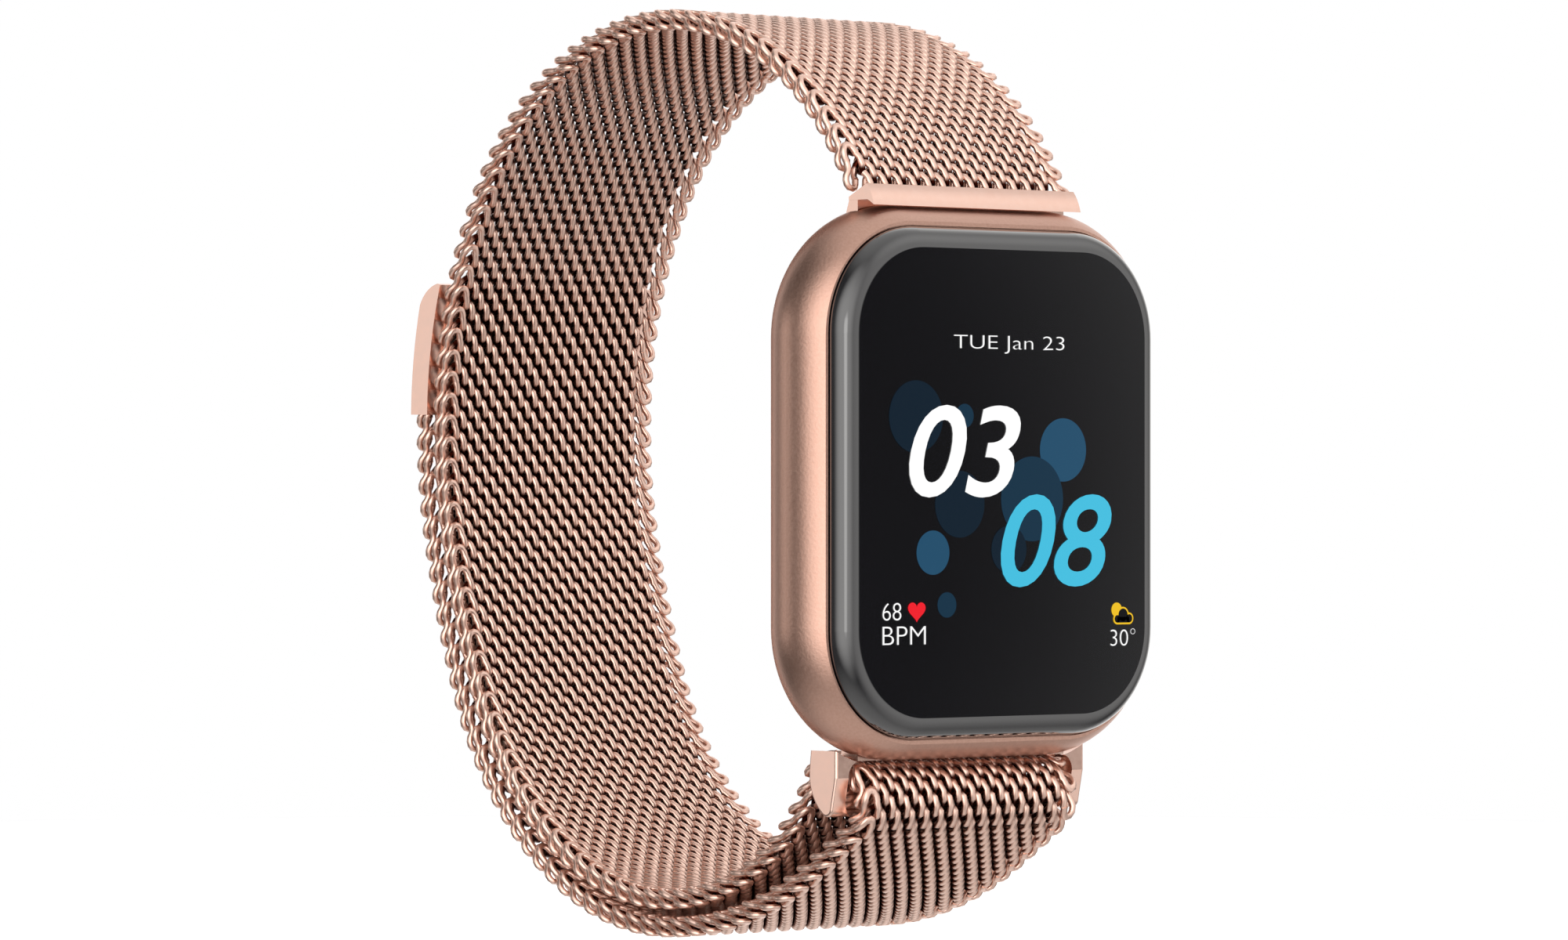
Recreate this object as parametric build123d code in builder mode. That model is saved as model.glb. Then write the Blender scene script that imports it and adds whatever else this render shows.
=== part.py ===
from build123d import *
import os
from math import acos, atan2, cos, degrees, hypot, radians, sin

# Smartwatch on a closed woven-mesh loop strap, worn size, millimetres.
# Origin: middle of the wrist opening.  +X towards 3 o'clock, +Z towards 12 o'clock,
# the display faces -Y and the strap runs round behind it to +Y.

os.makedirs("parts", exist_ok=True)

# ---------------------------------------------------------------- driving sizes
CASE_W = 35.6            # over the sides, 9 to 3 o'clock
CASE_H = 41.5            # over the ends, 12 to 6 o'clock
CASE_CORNER = 10.0       # corner radius of that outline
SIDE_ROUND = 4.35        # the sides are rounded front to back
RIM_Y = -26.65           # metal rim round the glass
CASE_BACK_Y = -19.2      # flat back of the case
CASE_NOSE_Y = CASE_BACK_Y - 2 * SIDE_ROUND - 0.05   # front of the shape before the rim is cut

RIM_SIDE = 1.6           # case edge to glass edge, 9 and 3 o'clock
RIM_END = 1.65           # and at 12 and 6
RIM_CORNER = 1.9         # the glass's corner radius is this much smaller than the case's
GLASS_W = CASE_W - 2 * RIM_SIDE     # curved-edge cover glass
GLASS_H = CASE_H - 2 * RIM_END
GLASS_CORNER = CASE_CORNER - RIM_CORNER
GLASS_FRONT_Y = -28.2
GLASS_BACK_Y = -26.3
GLASS_EDGE_ROUND = 1.6
GLASS_GAP = 0.1          # glass edge to metal rim
ADHESIVE_T = 0.15

BORDER_SIDE = 2.0        # glass edge to display edge
BORDER_END = 2.1
BORDER_CORNER = 2.7
DISPLAY_W = GLASS_W - 2 * BORDER_SIDE     # bonded display stack
DISPLAY_H = GLASS_H - 2 * BORDER_END
DISPLAY_CORNER = GLASS_CORNER - BORDER_CORNER
TOUCH_T = 0.2
PANEL_T = 0.8
TRAY_T = 0.5
TRAY_GAP = 0.3           # display stack to the metal round it

WALL_SIDE = 4.7          # case outline to the room for the works
WALL_END = 4.95
WALL_CORNER = 5.0
CAVITY_W = CASE_W - 2 * WALL_SIDE
CAVITY_H = CASE_H - 2 * WALL_END
CAVITY_CORNER = CASE_CORNER - WALL_CORNER

BACK_SIDE = 3.8          # case outline to the rear cover
BACK_END = 3.95
BACK_CORNER = 3.4
COVER_W = CASE_W - 2 * BACK_SIDE
COVER_H = CASE_H - 2 * BACK_END
COVER_CORNER = CASE_CORNER - BACK_CORNER
COVER_T = 1.45
COVER_PROUD = 0.6        # it stands this far out of the case back
COVER_GAP = 0.1
SEAL_T = 0.25
SEAL_W = 0.55
SEAL_INSET = 0.2         # cover edge to seal
SCREW_SIDE = 2.8         # rear cover screws, in from the cover's edges
SCREW_END = 4.2
SCREW_X = COVER_W / 2 - SCREW_SIDE
SCREW_Z = COVER_H / 2 - SCREW_END
SCREW_HEAD_R = 0.9
SCREW_HEAD_T = 0.6
SCREW_R = 0.5
SCREW_L = 2.6
SCREW_FIT = 0.05         # radial clearance of the shank in the cover
CROSS_L = 1.26           # cross recess in the head
CROSS_W = 0.2
CROSS_DEEP = 0.25
BOSS_R = 1.35

WINDOW_R = 7.2           # heart-rate window in the rear cover
WINDOW_PROUD = 0.5
SENSOR_BOARD_R = 5.6
SENSOR_BOARD_T = 0.5
SENSOR_LIGHT_T = 0.35
LIGHT_X = 3.4            # light sources either side of the detector
LIGHT_SIZE = 1.2
DETECTOR_W = 2.4
DETECTOR_H = 2.0
SENSOR_ROOM = 0.4        # space between board and window
CONTACT_R = 1.0          # charging contacts
CONTACT_X = 4.0
CONTACT_Z = -11.6
CONTACT_FOOT = 0.4       # the contact is this much wider inside the cover
CONTACT_FOOT_T = 0.3
MAGNET_X = 8.4           # charging magnets beside them
MAGNET_RISE = 3.4
MAGNET_R = 1.5
MAGNET_T = 0.9

BATTERY_W = 20.0
BATTERY_H = 16.2
BATTERY_T = 3.1
BATTERY_X = -1.3
BATTERY_Z = 2.7
BOARD_W = 19.0
BOARD_H = 8.6
BOARD_Z = -10.6
BOARD_T = 0.8
SHIELD_T = 1.3
BOARD_Y = -24.3
FLEX_W = 7.0
FLEX_L = 1.4
FLEX_T = 0.12
FLEX_Z = -13.2
BATTERY_Y = -24.5
MOTOR_R = 3.4
MOTOR_T = 1.7

BUTTON_Y = -23.3         # side button at 3 o'clock
BUTTON_Z = 0.0
BUTTON_L = 8.0
BUTTON_W = 2.4
BUTTON_PROUD = 0.55
BUTTON_HEAD_T = 1.5
BUTTON_TRAVEL = 0.35
BUTTON_GAP = 0.15
STEM_R = 0.8
STEM_FIT = 0.04          # radial clearance of the stem in its hole
CLIP_R = 1.35
CLIP_T = 0.3
ORING_R = 0.2
STEM_END = 0.9           # stem past the inner wall
SWITCH_GAP = 0.4         # stem end to switch, a little more than the travel
SWITCH_T = 1.4
SWITCH_W = 1.8
SWITCH_H = 3.2

MESH_W = 22.0            # strap over its curled edges
MESH_T = 1.7             # woven thickness
HINGE_GAP = 0.2          # curved gap where one stretch bends on the next
TAIL_GAP = 0.45          # gap where the tail leaves the folded stretch

LUG_Y = -22.3            # both spring-bar axes
LUG_INSET = 1.85         # from the ends of the case
LUG_Z = CASE_H / 2 - LUG_INSET
LUG_W = MESH_W - 0.2     # groove between the hidden lugs
GROOVE_R = 1.55
BAR_R = 0.75             # spring-bar tube
PIN_R = 0.4              # its end pins
PIN_FIT = 0.04           # radial running clearance of a pin in the case
PIN_REACH = 0.8          # how deep a pin sits in the case
BAR_END_GAP = 0.35       # knuckle end to groove wall
BAR_WALL = 0.2
BAR_PRESS = 0.02         # radial gap of the tube in the knuckle
KNUCKLE_WALL = 0.5
KNUCKLE_R = BAR_R + KNUCKLE_WALL    # tube of the strap parts round the bar
LEVER_TRAVEL = 0.9
LEVER_W = 0.9
LEVER_IN = 3.4           # lever, in from the end of the groove
LEVER_REACH = 0.45       # how far the lever stands out of the knuckle
LEVER_BODY = 2.5         # lever to the end of the sliding body
SLOT_FIT = 0.1           # tube slot longer than the travel, and wider than the lever
WINDOW_FIT = 0.15        # lever to the window in the knuckle, all round
SPRING_L = 3.0

CAP_W = MESH_W - 0.8     # end cap at 12 o'clock; its points are from the upper lug axis
CAP_FRONT = (LUG_Y - 3.0, LUG_Z + 1.8)       # lower front edge, close over the case
CAP_LIP = (LUG_Y - 2.6, LUG_Z + 2.05)
CAP_UNDER = (LUG_Y - 2.3, LUG_Z + 2.2)
CAP_REAR_LOW = (LUG_Y - 0.2, LUG_Z + 2.2)
CAP_REAR = (LUG_Y - 0.2, LUG_Z + 2.45)
CAP_TOP = (LUG_Y - 2.2, LUG_Z + 3.4)
CAP_BULGE = (LUG_Y - 2.7, LUG_Z + 2.65)      # the front is slightly rounded
CAP_EXIT = (LUG_Y - 1.05, LUG_Z + 2.85)      # the strap's middle line starts here
CAP_POCKET = 0.5         # depth of mesh held in the cap
TONGUE_T = 1.2           # flattened end of the mesh in it
TONGUE_INSET = 0.6       # cap end to pocket end
TONGUE_FIT = 0.1

FRAME_W = MESH_W + 3.4   # buckle frame at 6 o'clock; its heights are from the lower lug axis
FRAME_SLOT_W = MESH_W + 0.9
FRAME_FRONT_Y = LUG_Y - 1.15
FRAME_TOP_Z = -LUG_Z + 0.7
FRAME_REAR = (LUG_Y + 1.6, FRAME_TOP_Z)
FRAME_SHOULDER = (LUG_Y + 1.95, -LUG_Z - 2.4)
FRAME_ROUND = (LUG_Y + 1.55, -LUG_Z - 4.6)
FRAME_FOOT = (LUG_Y + 0.4, -LUG_Z - 5.9)
FRAME_TOE = (LUG_Y - 0.3, -LUG_Z - 5.95)
FRAME_TIP = (LUG_Y - 0.65, -LUG_Z - 5.45)
FRAME_KNEE = (FRAME_FRONT_Y, -LUG_Z - 3.1)
FRAME_EDGE_ROUND = 0.2
FRAME_BAND_Z = -LUG_Z - 1.85     # lower edge of the bar over the slot
SLOT_BOTTOM_Z = -LUG_Z - 6.0
SLOT_CORNER = 1.2
WELL_Y = LUG_Y + 0.4     # behind this the frame is open for the folded mesh
WELL_TOP_Z = -LUG_Z + 0.9
WELL_BOTTOM_Z = -LUG_Z - 6.1
NECK_REAR_Y = LUG_Y + 0.7
CROSSBAR = (LUG_Y + 0.85, -LUG_Z - 4.75)
CROSSBAR_R = 1.1
MESH_ROOM = 0.1          # mesh to frame
FRAME_CASE_GAP = 0.45    # frame to case

CLASP_W = MESH_W + 0.3   # magnetic clasp on the tail's end
CLASP_L = 10.9
CLASP_LIFT = 0.25        # its inner face to the band under it
CLASP_WALL = 0.2
CLASP_T = MESH_T + 2 * CLASP_WALL
CLASP_GRIP = 3.0         # length of tail held in it
CLASP_NOSE_L = 3.6       # its upper end slopes down to the band in a long round nose
CLASP_NOSE_LIP = 0.35
CLASP_SIDE_FIT = 0.02    # tail edge to socket
MAGNET_BAR_W = MESH_W - 3.0
MAGNET_BAR_L = 4.4
MAGNET_BAR_T = 1.1
MAGNET_SET = 0.65        # end of the socket to the magnets' plate
MAGNET_FIT = 0.05
MAGNET_SPLIT = 0.3       # between the four magnets in the row
CLASP_PLATE_T = 0.25
LAYER_STEP = MESH_T + CLASP_LIFT + CLASP_WALL   # middle of the band to middle of the tail

# middle line of the strap seen from the side, as tangent arcs (radius, sweep): over the
# top to the upper bend, down the back to the lower bend, round the bottom to the buckle
PATH_HEADING = 57.8
LEAD_IN = 2.4
MESH_START = 0.3         # full thickness of mesh from here
UPPER_ARCS = [(25.7, 114.3), (34.8, 4.26)]
BACK_R = 34.8            # above and below the straight part of the back
BACK_TURN = 11.565       # sweep of that arc below the straight part
FLAT_R = 77.3            # the flattest arc of the back
LOWER_ARCS = [(26.6, 36.526), (22.8, 65.04), (15.9, 31.6)]
FOLD_IN = (1.9, 85.6)    # over the crossbar, then the straight part, then down its front
FOLD_RUN = 1.8
FOLD_OUT_R = 2.4
TAIL_FRONT_R = 33.0      # the tail between the fold and the bottom of the loop
PEEL_SWEEP = 4.4         # one peeling stretch of the tail, on the flattest arc
CLASP_START = 0.8        # where the clasp starts, above the straight part of the back

# ---------------------------------------------------------------- helpers


def at_y(y):
    """Plane facing the viewer of the display, at this Y."""
    return Plane.XZ.offset(-y)


def at_x(x):
    return Plane.YZ.offset(x)


def save(builder, label):
    builder.part.label = label
    export_step(builder.part, "parts/" + label + ".step")


def shift(point, heading, length):
    return (point[0] + length * cos(radians(heading)), point[1] + length * sin(radians(heading)))


def walk(start, heading, arcs, turn):
    """Tangent arcs from start; turn is -1 clockwise, +1 anticlockwise.

    Gives the arcs as (centre, radius, start angle, signed sweep), the end and its heading.
    """
    found = []
    point = start
    for radius, sweep in arcs:
        centre = shift(point, heading + 90 * turn, radius)
        found.append((centre, radius, heading - 90 * turn, sweep * turn))
        heading += sweep * turn
        point = shift(centre, heading - 90 * turn, radius)
    return found, point, heading


def sides(arcs, half):
    """The two long edges of a band of this half thickness on a run of arcs."""
    for centre, radius, angle, sweep in arcs:
        out = half if sweep < 0 else -half
        CenterArc(centre, radius + out, angle, sweep)
        CenterArc(centre, radius - out, angle, sweep)


def straight(first, last, heading, half):
    """The two long edges of a band along a straight run."""
    for side in (90, -90):
        Line(shift(first, heading + side, half), shift(last, heading + side, half))


def end_line(point, heading, half):
    Line(shift(point, heading + 90, half), shift(point, heading - 90, half))


# ---------------------------------------------------------------- strap path
HALF = MESH_T / 2
upper_start = shift(CAP_EXIT, PATH_HEADING, LEAD_IN)
upper, upper_end, upper_head = walk(upper_start, PATH_HEADING, UPPER_ARCS, -1)

# The upper and the lower bend are level with each other in Y and one spring-bar distance
# apart in Z, so the loop swings up and down as a parallelogram with the case.
top_turn = upper_head + 90
low_in = BACK_R * (cos(radians(BACK_TURN)) - cos(radians(top_turn)))
flat_turn = degrees(acos(cos(radians(BACK_TURN)) - low_in / FLAT_R)) - BACK_TURN
arcs_drop = (BACK_R * (sin(radians(top_turn)) + sin(radians(BACK_TURN)))
             + FLAT_R * (sin(radians(BACK_TURN + flat_turn)) - sin(radians(BACK_TURN))))
BACK_RUN = 2 * LUG_Z - arcs_drop
back_a, run_top, _ = walk(upper_end, upper_head, [(BACK_R, top_turn)], -1)
run_low = shift(run_top, -90, BACK_RUN)
back_b, back_end, back_head = walk(run_low, -90, [(BACK_R, BACK_TURN), (FLAT_R, flat_turn)], -1)
BEND_Y = upper_end[0]
BEND_TOP_Z = upper_end[1]
BEND_LOW_Z = BEND_TOP_Z - 2 * LUG_Z

lower, lower_end, lower_head = walk(back_end, back_head, LOWER_ARCS, -1)
fold_a, fold_mid, fold_head = walk(lower_end, lower_head, [FOLD_IN], 1)
fold_run = shift(fold_mid, fold_head, FOLD_RUN)

# the tail leaves the fold on a straight line that touches a wide arc, which runs
# into the layer over the band where both are level at the bottom of the loop
under_centre, under_radius = lower[1][0], lower[1][1] + LAYER_STEP
wide_centre = (under_centre[0], under_centre[1] - under_radius + TAIL_FRONT_R)
fold_centre = shift(fold_run, fold_head + 90, FOLD_OUT_R)
span = (wide_centre[0] - fold_centre[0], wide_centre[1] - fold_centre[1])
tilt = degrees(acos((TAIL_FRONT_R - FOLD_OUT_R) / hypot(*span)))
tail_heading = degrees(atan2(span[1], span[0])) - 90 + tilt
fold_sweep = (tail_heading - fold_head) % 360
fold_b, fold_end, _ = walk(fold_run, fold_head, [(FOLD_OUT_R, fold_sweep)], 1)
tail_touch = shift(wide_centre, tail_heading - 90, TAIL_FRONT_R)

# outer layer: the same centres as the band under it, run the other way
bend_heading = back_head + 180
low_sweep = lower[0][2] + lower[0][3] + 90
trim = degrees((HALF + TAIL_GAP) / (lower[0][1] + LAYER_STEP))
tail_low, tail_low_end, tail_low_head = walk(
    tail_touch, tail_heading,
    [(TAIL_FRONT_R, -tail_heading), (under_radius, low_sweep),
     (lower[0][1] + LAYER_STEP, LOWER_ARCS[0][1] - trim)], 1)

# the tail over the back, in stretches that peel away one after another
PEEL_1 = shift(lower[0][0], lower[0][2], lower[0][1] + LAYER_STEP)
flat_r, top_r = FLAT_R + LAYER_STEP, BACK_R + LAYER_STEP
tail_1, PEEL_2, head_2 = walk(PEEL_1, bend_heading, [(flat_r, PEEL_SWEEP)], 1)
tail_2, PEEL_3, head_3 = walk(PEEL_2, head_2, [(flat_r, PEEL_SWEEP)], 1)
tail_3a, tail_run_low, _ = walk(
    PEEL_3, head_3, [(flat_r, flat_turn - 2 * PEEL_SWEEP), (top_r, BACK_TURN)], 1)
tail_run_top = shift(tail_run_low, 90, BACK_RUN)
tail_3b, tail_tip, tail_tip_head = walk(
    tail_run_top, 90, [(top_r, CLASP_START + degrees(CLASP_GRIP / top_r))], 1)
clasp_sweep = degrees(CLASP_L / top_r)


# ---------------------------------------------------------------- case
PANEL_BACK_Y = GLASS_BACK_Y + TOUCH_T + PANEL_T
TRAY_BACK_Y = PANEL_BACK_Y + TRAY_T
COVER_BACK_Y = CASE_BACK_Y + COVER_PROUD
COVER_IN_Y = COVER_BACK_Y - COVER_T
SCREW_SPOTS = [(x, z) for x in (-SCREW_X, SCREW_X) for z in (-SCREW_Z, SCREW_Z)]
PIN_END = LUG_W / 2 + PIN_REACH
HEAD_OUT_X = CASE_W / 2 + BUTTON_PROUD
HEAD_IN_X = HEAD_OUT_X - BUTTON_HEAD_T
RECESS_X = HEAD_IN_X - BUTTON_TRAVEL - 0.05
SEAT_X = RECESS_X - 2 * ORING_R - 0.2
WALL_IN_X = CAVITY_W / 2

with BuildPart() as case_frame:
    with BuildSketch(at_y(CASE_BACK_Y)):
        RectangleRounded(CASE_W, CASE_H, CASE_CORNER)
    extrude(amount=CASE_BACK_Y - CASE_NOSE_Y)
    fillet(case_frame.faces().filter_by(Axis.Y).edges(), SIDE_ROUND)
    with BuildSketch(at_y(RIM_Y)):
        Rectangle(2 * CASE_W, 2 * CASE_H)
    extrude(amount=2 * SIDE_ROUND, mode=Mode.SUBTRACT)
    # glass pocket, display opening, cavity and rear cover seat, front to back
    with BuildSketch(at_y(GLASS_BACK_Y + ADHESIVE_T)):
        RectangleRounded(GLASS_W + 2 * GLASS_GAP, GLASS_H + 2 * GLASS_GAP, GLASS_CORNER + GLASS_GAP)
    extrude(amount=2 * SIDE_ROUND, mode=Mode.SUBTRACT)
    with BuildSketch(at_y(TRAY_BACK_Y)):
        RectangleRounded(DISPLAY_W + 2 * TRAY_GAP, DISPLAY_H + 2 * TRAY_GAP,
                         DISPLAY_CORNER + TRAY_GAP)
    extrude(amount=2 * SIDE_ROUND, mode=Mode.SUBTRACT)
    with BuildSketch(at_y(CASE_BACK_Y)):
        RectangleRounded(CAVITY_W, CAVITY_H, CAVITY_CORNER)
    extrude(amount=2 * SIDE_ROUND, mode=Mode.SUBTRACT)
    with BuildSketch(at_y(CASE_BACK_Y)):
        RectangleRounded(COVER_W + 2 * COVER_GAP, COVER_H + 2 * COVER_GAP, COVER_CORNER + COVER_GAP)
    extrude(amount=CASE_BACK_Y - COVER_IN_Y + SEAL_T, mode=Mode.SUBTRACT)
    # screw bosses in the corners of the cavity
    with BuildSketch(at_y(COVER_IN_Y - SEAL_T)):
        with Locations(*SCREW_SPOTS):
            Circle(BOSS_R)
    extrude(amount=COVER_IN_Y - SEAL_T - TRAY_BACK_Y)
    with BuildSketch(at_y(COVER_IN_Y)):
        with Locations(*SCREW_SPOTS):
            Circle(SCREW_R)
    extrude(amount=SCREW_L, mode=Mode.SUBTRACT)
    # strap grooves between the hidden lugs, open at the back, and their pin holes
    for end in (-1, 1):
        with BuildSketch(at_x(0)):
            with Locations((LUG_Y, end * LUG_Z)):
                Circle(GROOVE_R)
            with Locations(((LUG_Y - GROOVE_R + CASE_BACK_Y + 1) / 2, end * (LUG_Z + GROOVE_R))):
                Rectangle(CASE_BACK_Y + 1 - LUG_Y + GROOVE_R, 2 * GROOVE_R)
            with Locations(((LUG_Y + CASE_BACK_Y + 1) / 2, end * LUG_Z)):
                Rectangle(CASE_BACK_Y + 1 - LUG_Y, 2 * GROOVE_R)
        extrude(amount=LUG_W / 2, both=True, mode=Mode.SUBTRACT)
        with BuildSketch(at_x(0)):
            with Locations((LUG_Y, end * LUG_Z)):
                Circle(PIN_R + PIN_FIT)
        extrude(amount=PIN_END + 0.05, both=True, mode=Mode.SUBTRACT)
    # side button: recess, seal seat and stem hole
    with BuildSketch(at_x(RECESS_X)):
        with Locations((BUTTON_Y, BUTTON_Z)):
            RectangleRounded(BUTTON_W + 2 * BUTTON_GAP, BUTTON_L + 2 * BUTTON_GAP,
                             BUTTON_W / 2 + BUTTON_GAP - 0.01)
    extrude(amount=CASE_W, mode=Mode.SUBTRACT)
    with BuildSketch(at_x(SEAT_X)):
        with Locations((BUTTON_Y, BUTTON_Z)):
            Circle(STEM_R + 2 * ORING_R + 0.04)
    extrude(amount=CASE_W, mode=Mode.SUBTRACT)
    with BuildSketch(at_x(WALL_IN_X - 1)):
        with Locations((BUTTON_Y, BUTTON_Z)):
            Circle(STEM_R + STEM_FIT)
    extrude(amount=CASE_W, mode=Mode.SUBTRACT)
save(case_frame, "case_frame")

with BuildPart() as front_glass:
    with BuildSketch(at_y(GLASS_BACK_Y)):
        RectangleRounded(GLASS_W, GLASS_H, GLASS_CORNER)
    extrude(amount=GLASS_BACK_Y - GLASS_FRONT_Y)
    fillet(front_glass.faces().sort_by(Axis.Y)[0].edges(), GLASS_EDGE_ROUND)
save(front_glass, "front_glass")

with BuildPart() as glass_adhesive:
    with BuildSketch(at_y(GLASS_BACK_Y + ADHESIVE_T)):
        RectangleRounded(GLASS_W - 2 * GLASS_GAP, GLASS_H - 2 * GLASS_GAP, GLASS_CORNER - GLASS_GAP)
        RectangleRounded(DISPLAY_W + 4 * TRAY_GAP, DISPLAY_H + 4 * TRAY_GAP,
                         DISPLAY_CORNER + 2 * TRAY_GAP, mode=Mode.SUBTRACT)
    extrude(amount=ADHESIVE_T)
save(glass_adhesive, "glass_adhesive")

with BuildPart() as touch_panel:
    with BuildSketch(at_y(GLASS_BACK_Y + TOUCH_T)):
        RectangleRounded(DISPLAY_W, DISPLAY_H, DISPLAY_CORNER)
    extrude(amount=TOUCH_T)
save(touch_panel, "touch_panel")

with BuildPart() as display_panel:
    with BuildSketch(at_y(PANEL_BACK_Y)):
        RectangleRounded(DISPLAY_W, DISPLAY_H, DISPLAY_CORNER)
    extrude(amount=PANEL_T)
save(display_panel, "display_panel")

with BuildPart() as display_tray:
    with BuildSketch(at_y(TRAY_BACK_Y)):
        RectangleRounded(DISPLAY_W, DISPLAY_H, DISPLAY_CORNER)
    extrude(amount=TRAY_T)
save(display_tray, "display_tray")

with BuildPart() as display_flex:
    with BuildSketch(at_x(0)):
        with BuildLine():
            Polyline((TRAY_BACK_Y, FLEX_Z), (TRAY_BACK_Y, FLEX_Z - FLEX_L),
                     (BOARD_Y, FLEX_Z - FLEX_L), (BOARD_Y, FLEX_Z),
                     (BOARD_Y - FLEX_T, FLEX_Z), (BOARD_Y - FLEX_T, FLEX_Z - FLEX_L + FLEX_T),
                     (TRAY_BACK_Y + FLEX_T, FLEX_Z - FLEX_L + FLEX_T), (TRAY_BACK_Y + FLEX_T, FLEX_Z),
                     close=True)
        make_face()
    extrude(amount=FLEX_W / 2, both=True)
save(display_flex, "display_flex")

BOARD_BACK_Y = BOARD_Y + BOARD_T
with BuildPart() as main_board:
    with BuildSketch(at_y(BOARD_BACK_Y)):
        with Locations((0, BOARD_Z)):
            RectangleRounded(BOARD_W, BOARD_H, 0.8)
    extrude(amount=BOARD_T)
save(main_board, "main_board")

with BuildPart() as shield_can:
    with BuildSketch(at_y(BOARD_BACK_Y + SHIELD_T)):
        with Locations((BOARD_W / 4, BOARD_Z)):
            RectangleRounded(BOARD_W / 2 - 1.4, BOARD_H - 1.2, 0.5)
    extrude(amount=SHIELD_T)
    fillet(shield_can.faces().sort_by(Axis.Y)[-1].edges(), 0.2)
save(shield_can, "shield_can")

with BuildPart() as vibration_motor:
    with BuildSketch(at_y(BOARD_BACK_Y + MOTOR_T)):
        with Locations((-BOARD_W / 4, BOARD_Z)):
            Circle(MOTOR_R)
    extrude(amount=MOTOR_T)
save(vibration_motor, "vibration_motor")

with BuildPart() as battery:
    with BuildSketch(at_y(BATTERY_Y + BATTERY_T)):
        with Locations((BATTERY_X, BATTERY_Z)):
            RectangleRounded(BATTERY_W, BATTERY_H, 1.0)
    extrude(amount=BATTERY_T)
    fillet(battery.edges().group_by(Axis.Y)[0], 0.4)
    fillet(battery.edges().group_by(Axis.Y)[-1], 0.4)
save(battery, "battery")

# ---------------------------------------------------------------- rear of the case
with BuildPart() as rear_cover:
    with BuildSketch(at_y(COVER_BACK_Y)):
        RectangleRounded(COVER_W, COVER_H, COVER_CORNER)
    extrude(amount=COVER_T)
    fillet(rear_cover.faces().sort_by(Axis.Y)[-1].edges(), COVER_PROUD - 0.05)
    with BuildSketch(at_y(COVER_BACK_Y)):
        Circle(WINDOW_R)
    extrude(amount=COVER_T, mode=Mode.SUBTRACT)
    with BuildSketch(at_y(COVER_BACK_Y)):
        with Locations((-CONTACT_X, CONTACT_Z), (CONTACT_X, CONTACT_Z)):
            Circle(CONTACT_R)
        with Locations(*SCREW_SPOTS):
            Circle(SCREW_R + SCREW_FIT)
    extrude(amount=COVER_T, mode=Mode.SUBTRACT)
    with BuildSketch(at_y(COVER_BACK_Y)):
        with Locations(*SCREW_SPOTS):
            Circle(SCREW_HEAD_R + SCREW_FIT)
    extrude(amount=SCREW_HEAD_T, mode=Mode.SUBTRACT)
save(rear_cover, "rear_cover")

with BuildPart() as rear_screws:
    with BuildSketch(at_y(COVER_BACK_Y)):
        with Locations(*SCREW_SPOTS):
            Circle(SCREW_HEAD_R)
    extrude(amount=SCREW_HEAD_T)
    with BuildSketch(at_y(COVER_BACK_Y - SCREW_HEAD_T)):
        with Locations(*SCREW_SPOTS):
            Circle(SCREW_R)
    extrude(amount=COVER_T - SCREW_HEAD_T + SCREW_L - 0.1)
    with BuildSketch(at_y(COVER_BACK_Y)):
        for x, z in SCREW_SPOTS:
            with Locations((x, z)):
                Rectangle(CROSS_L, CROSS_W)
                Rectangle(CROSS_W, CROSS_L)
    extrude(amount=CROSS_DEEP, mode=Mode.SUBTRACT)
save(rear_screws, "rear_screws")

with BuildPart() as rear_seal:
    with BuildSketch(at_y(COVER_IN_Y)):
        RectangleRounded(COVER_W - 2 * SEAL_INSET, COVER_H - 2 * SEAL_INSET,
                         COVER_CORNER - SEAL_INSET)
        RectangleRounded(COVER_W - 2 * SEAL_INSET - 2 * SEAL_W,
                         COVER_H - 2 * SEAL_INSET - 2 * SEAL_W,
                         COVER_CORNER - SEAL_INSET - SEAL_W, mode=Mode.SUBTRACT)
    extrude(amount=SEAL_T)
save(rear_seal, "rear_seal")

with BuildPart() as sensor_window:
    with BuildSketch(at_y(COVER_BACK_Y + WINDOW_PROUD)):
        Circle(WINDOW_R)
    extrude(amount=WINDOW_PROUD + COVER_T - SENSOR_ROOM)
    fillet(sensor_window.faces().sort_by(Axis.Y)[-1].edges(), WINDOW_PROUD - 0.05)
save(sensor_window, "sensor_window")

with BuildPart() as sensor_board:
    with BuildSketch(at_y(COVER_IN_Y - 0.05)):
        Circle(SENSOR_BOARD_R)
    extrude(amount=SENSOR_BOARD_T)
save(sensor_board, "sensor_board")

with BuildPart() as sensor_lights:
    with BuildSketch(at_y(COVER_IN_Y - 0.05 + SENSOR_LIGHT_T)):
        with Locations((-LIGHT_X, 0), (LIGHT_X, 0)):
            Rectangle(LIGHT_SIZE, LIGHT_SIZE)
        with Locations((0, 0)):
            Rectangle(DETECTOR_W, DETECTOR_H)
    extrude(amount=SENSOR_LIGHT_T)
save(sensor_lights, "sensor_lights")

with BuildPart() as charging_contacts:
    with BuildSketch(at_y(COVER_BACK_Y)):
        with Locations((-CONTACT_X, CONTACT_Z), (CONTACT_X, CONTACT_Z)):
            Circle(CONTACT_R)
    extrude(amount=COVER_T)
    with BuildSketch(at_y(COVER_IN_Y)):
        with Locations((-CONTACT_X, CONTACT_Z), (CONTACT_X, CONTACT_Z)):
            Circle(CONTACT_R + CONTACT_FOOT)
    extrude(amount=CONTACT_FOOT_T)
save(charging_contacts, "charging_contacts")

with BuildPart() as charging_magnets:
    with BuildSketch(at_y(COVER_IN_Y)):
        with Locations((-MAGNET_X, CONTACT_Z + MAGNET_RISE), (MAGNET_X, CONTACT_Z + MAGNET_RISE)):
            Circle(MAGNET_R)
    extrude(amount=MAGNET_T)
save(charging_magnets, "charging_magnets")

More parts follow.
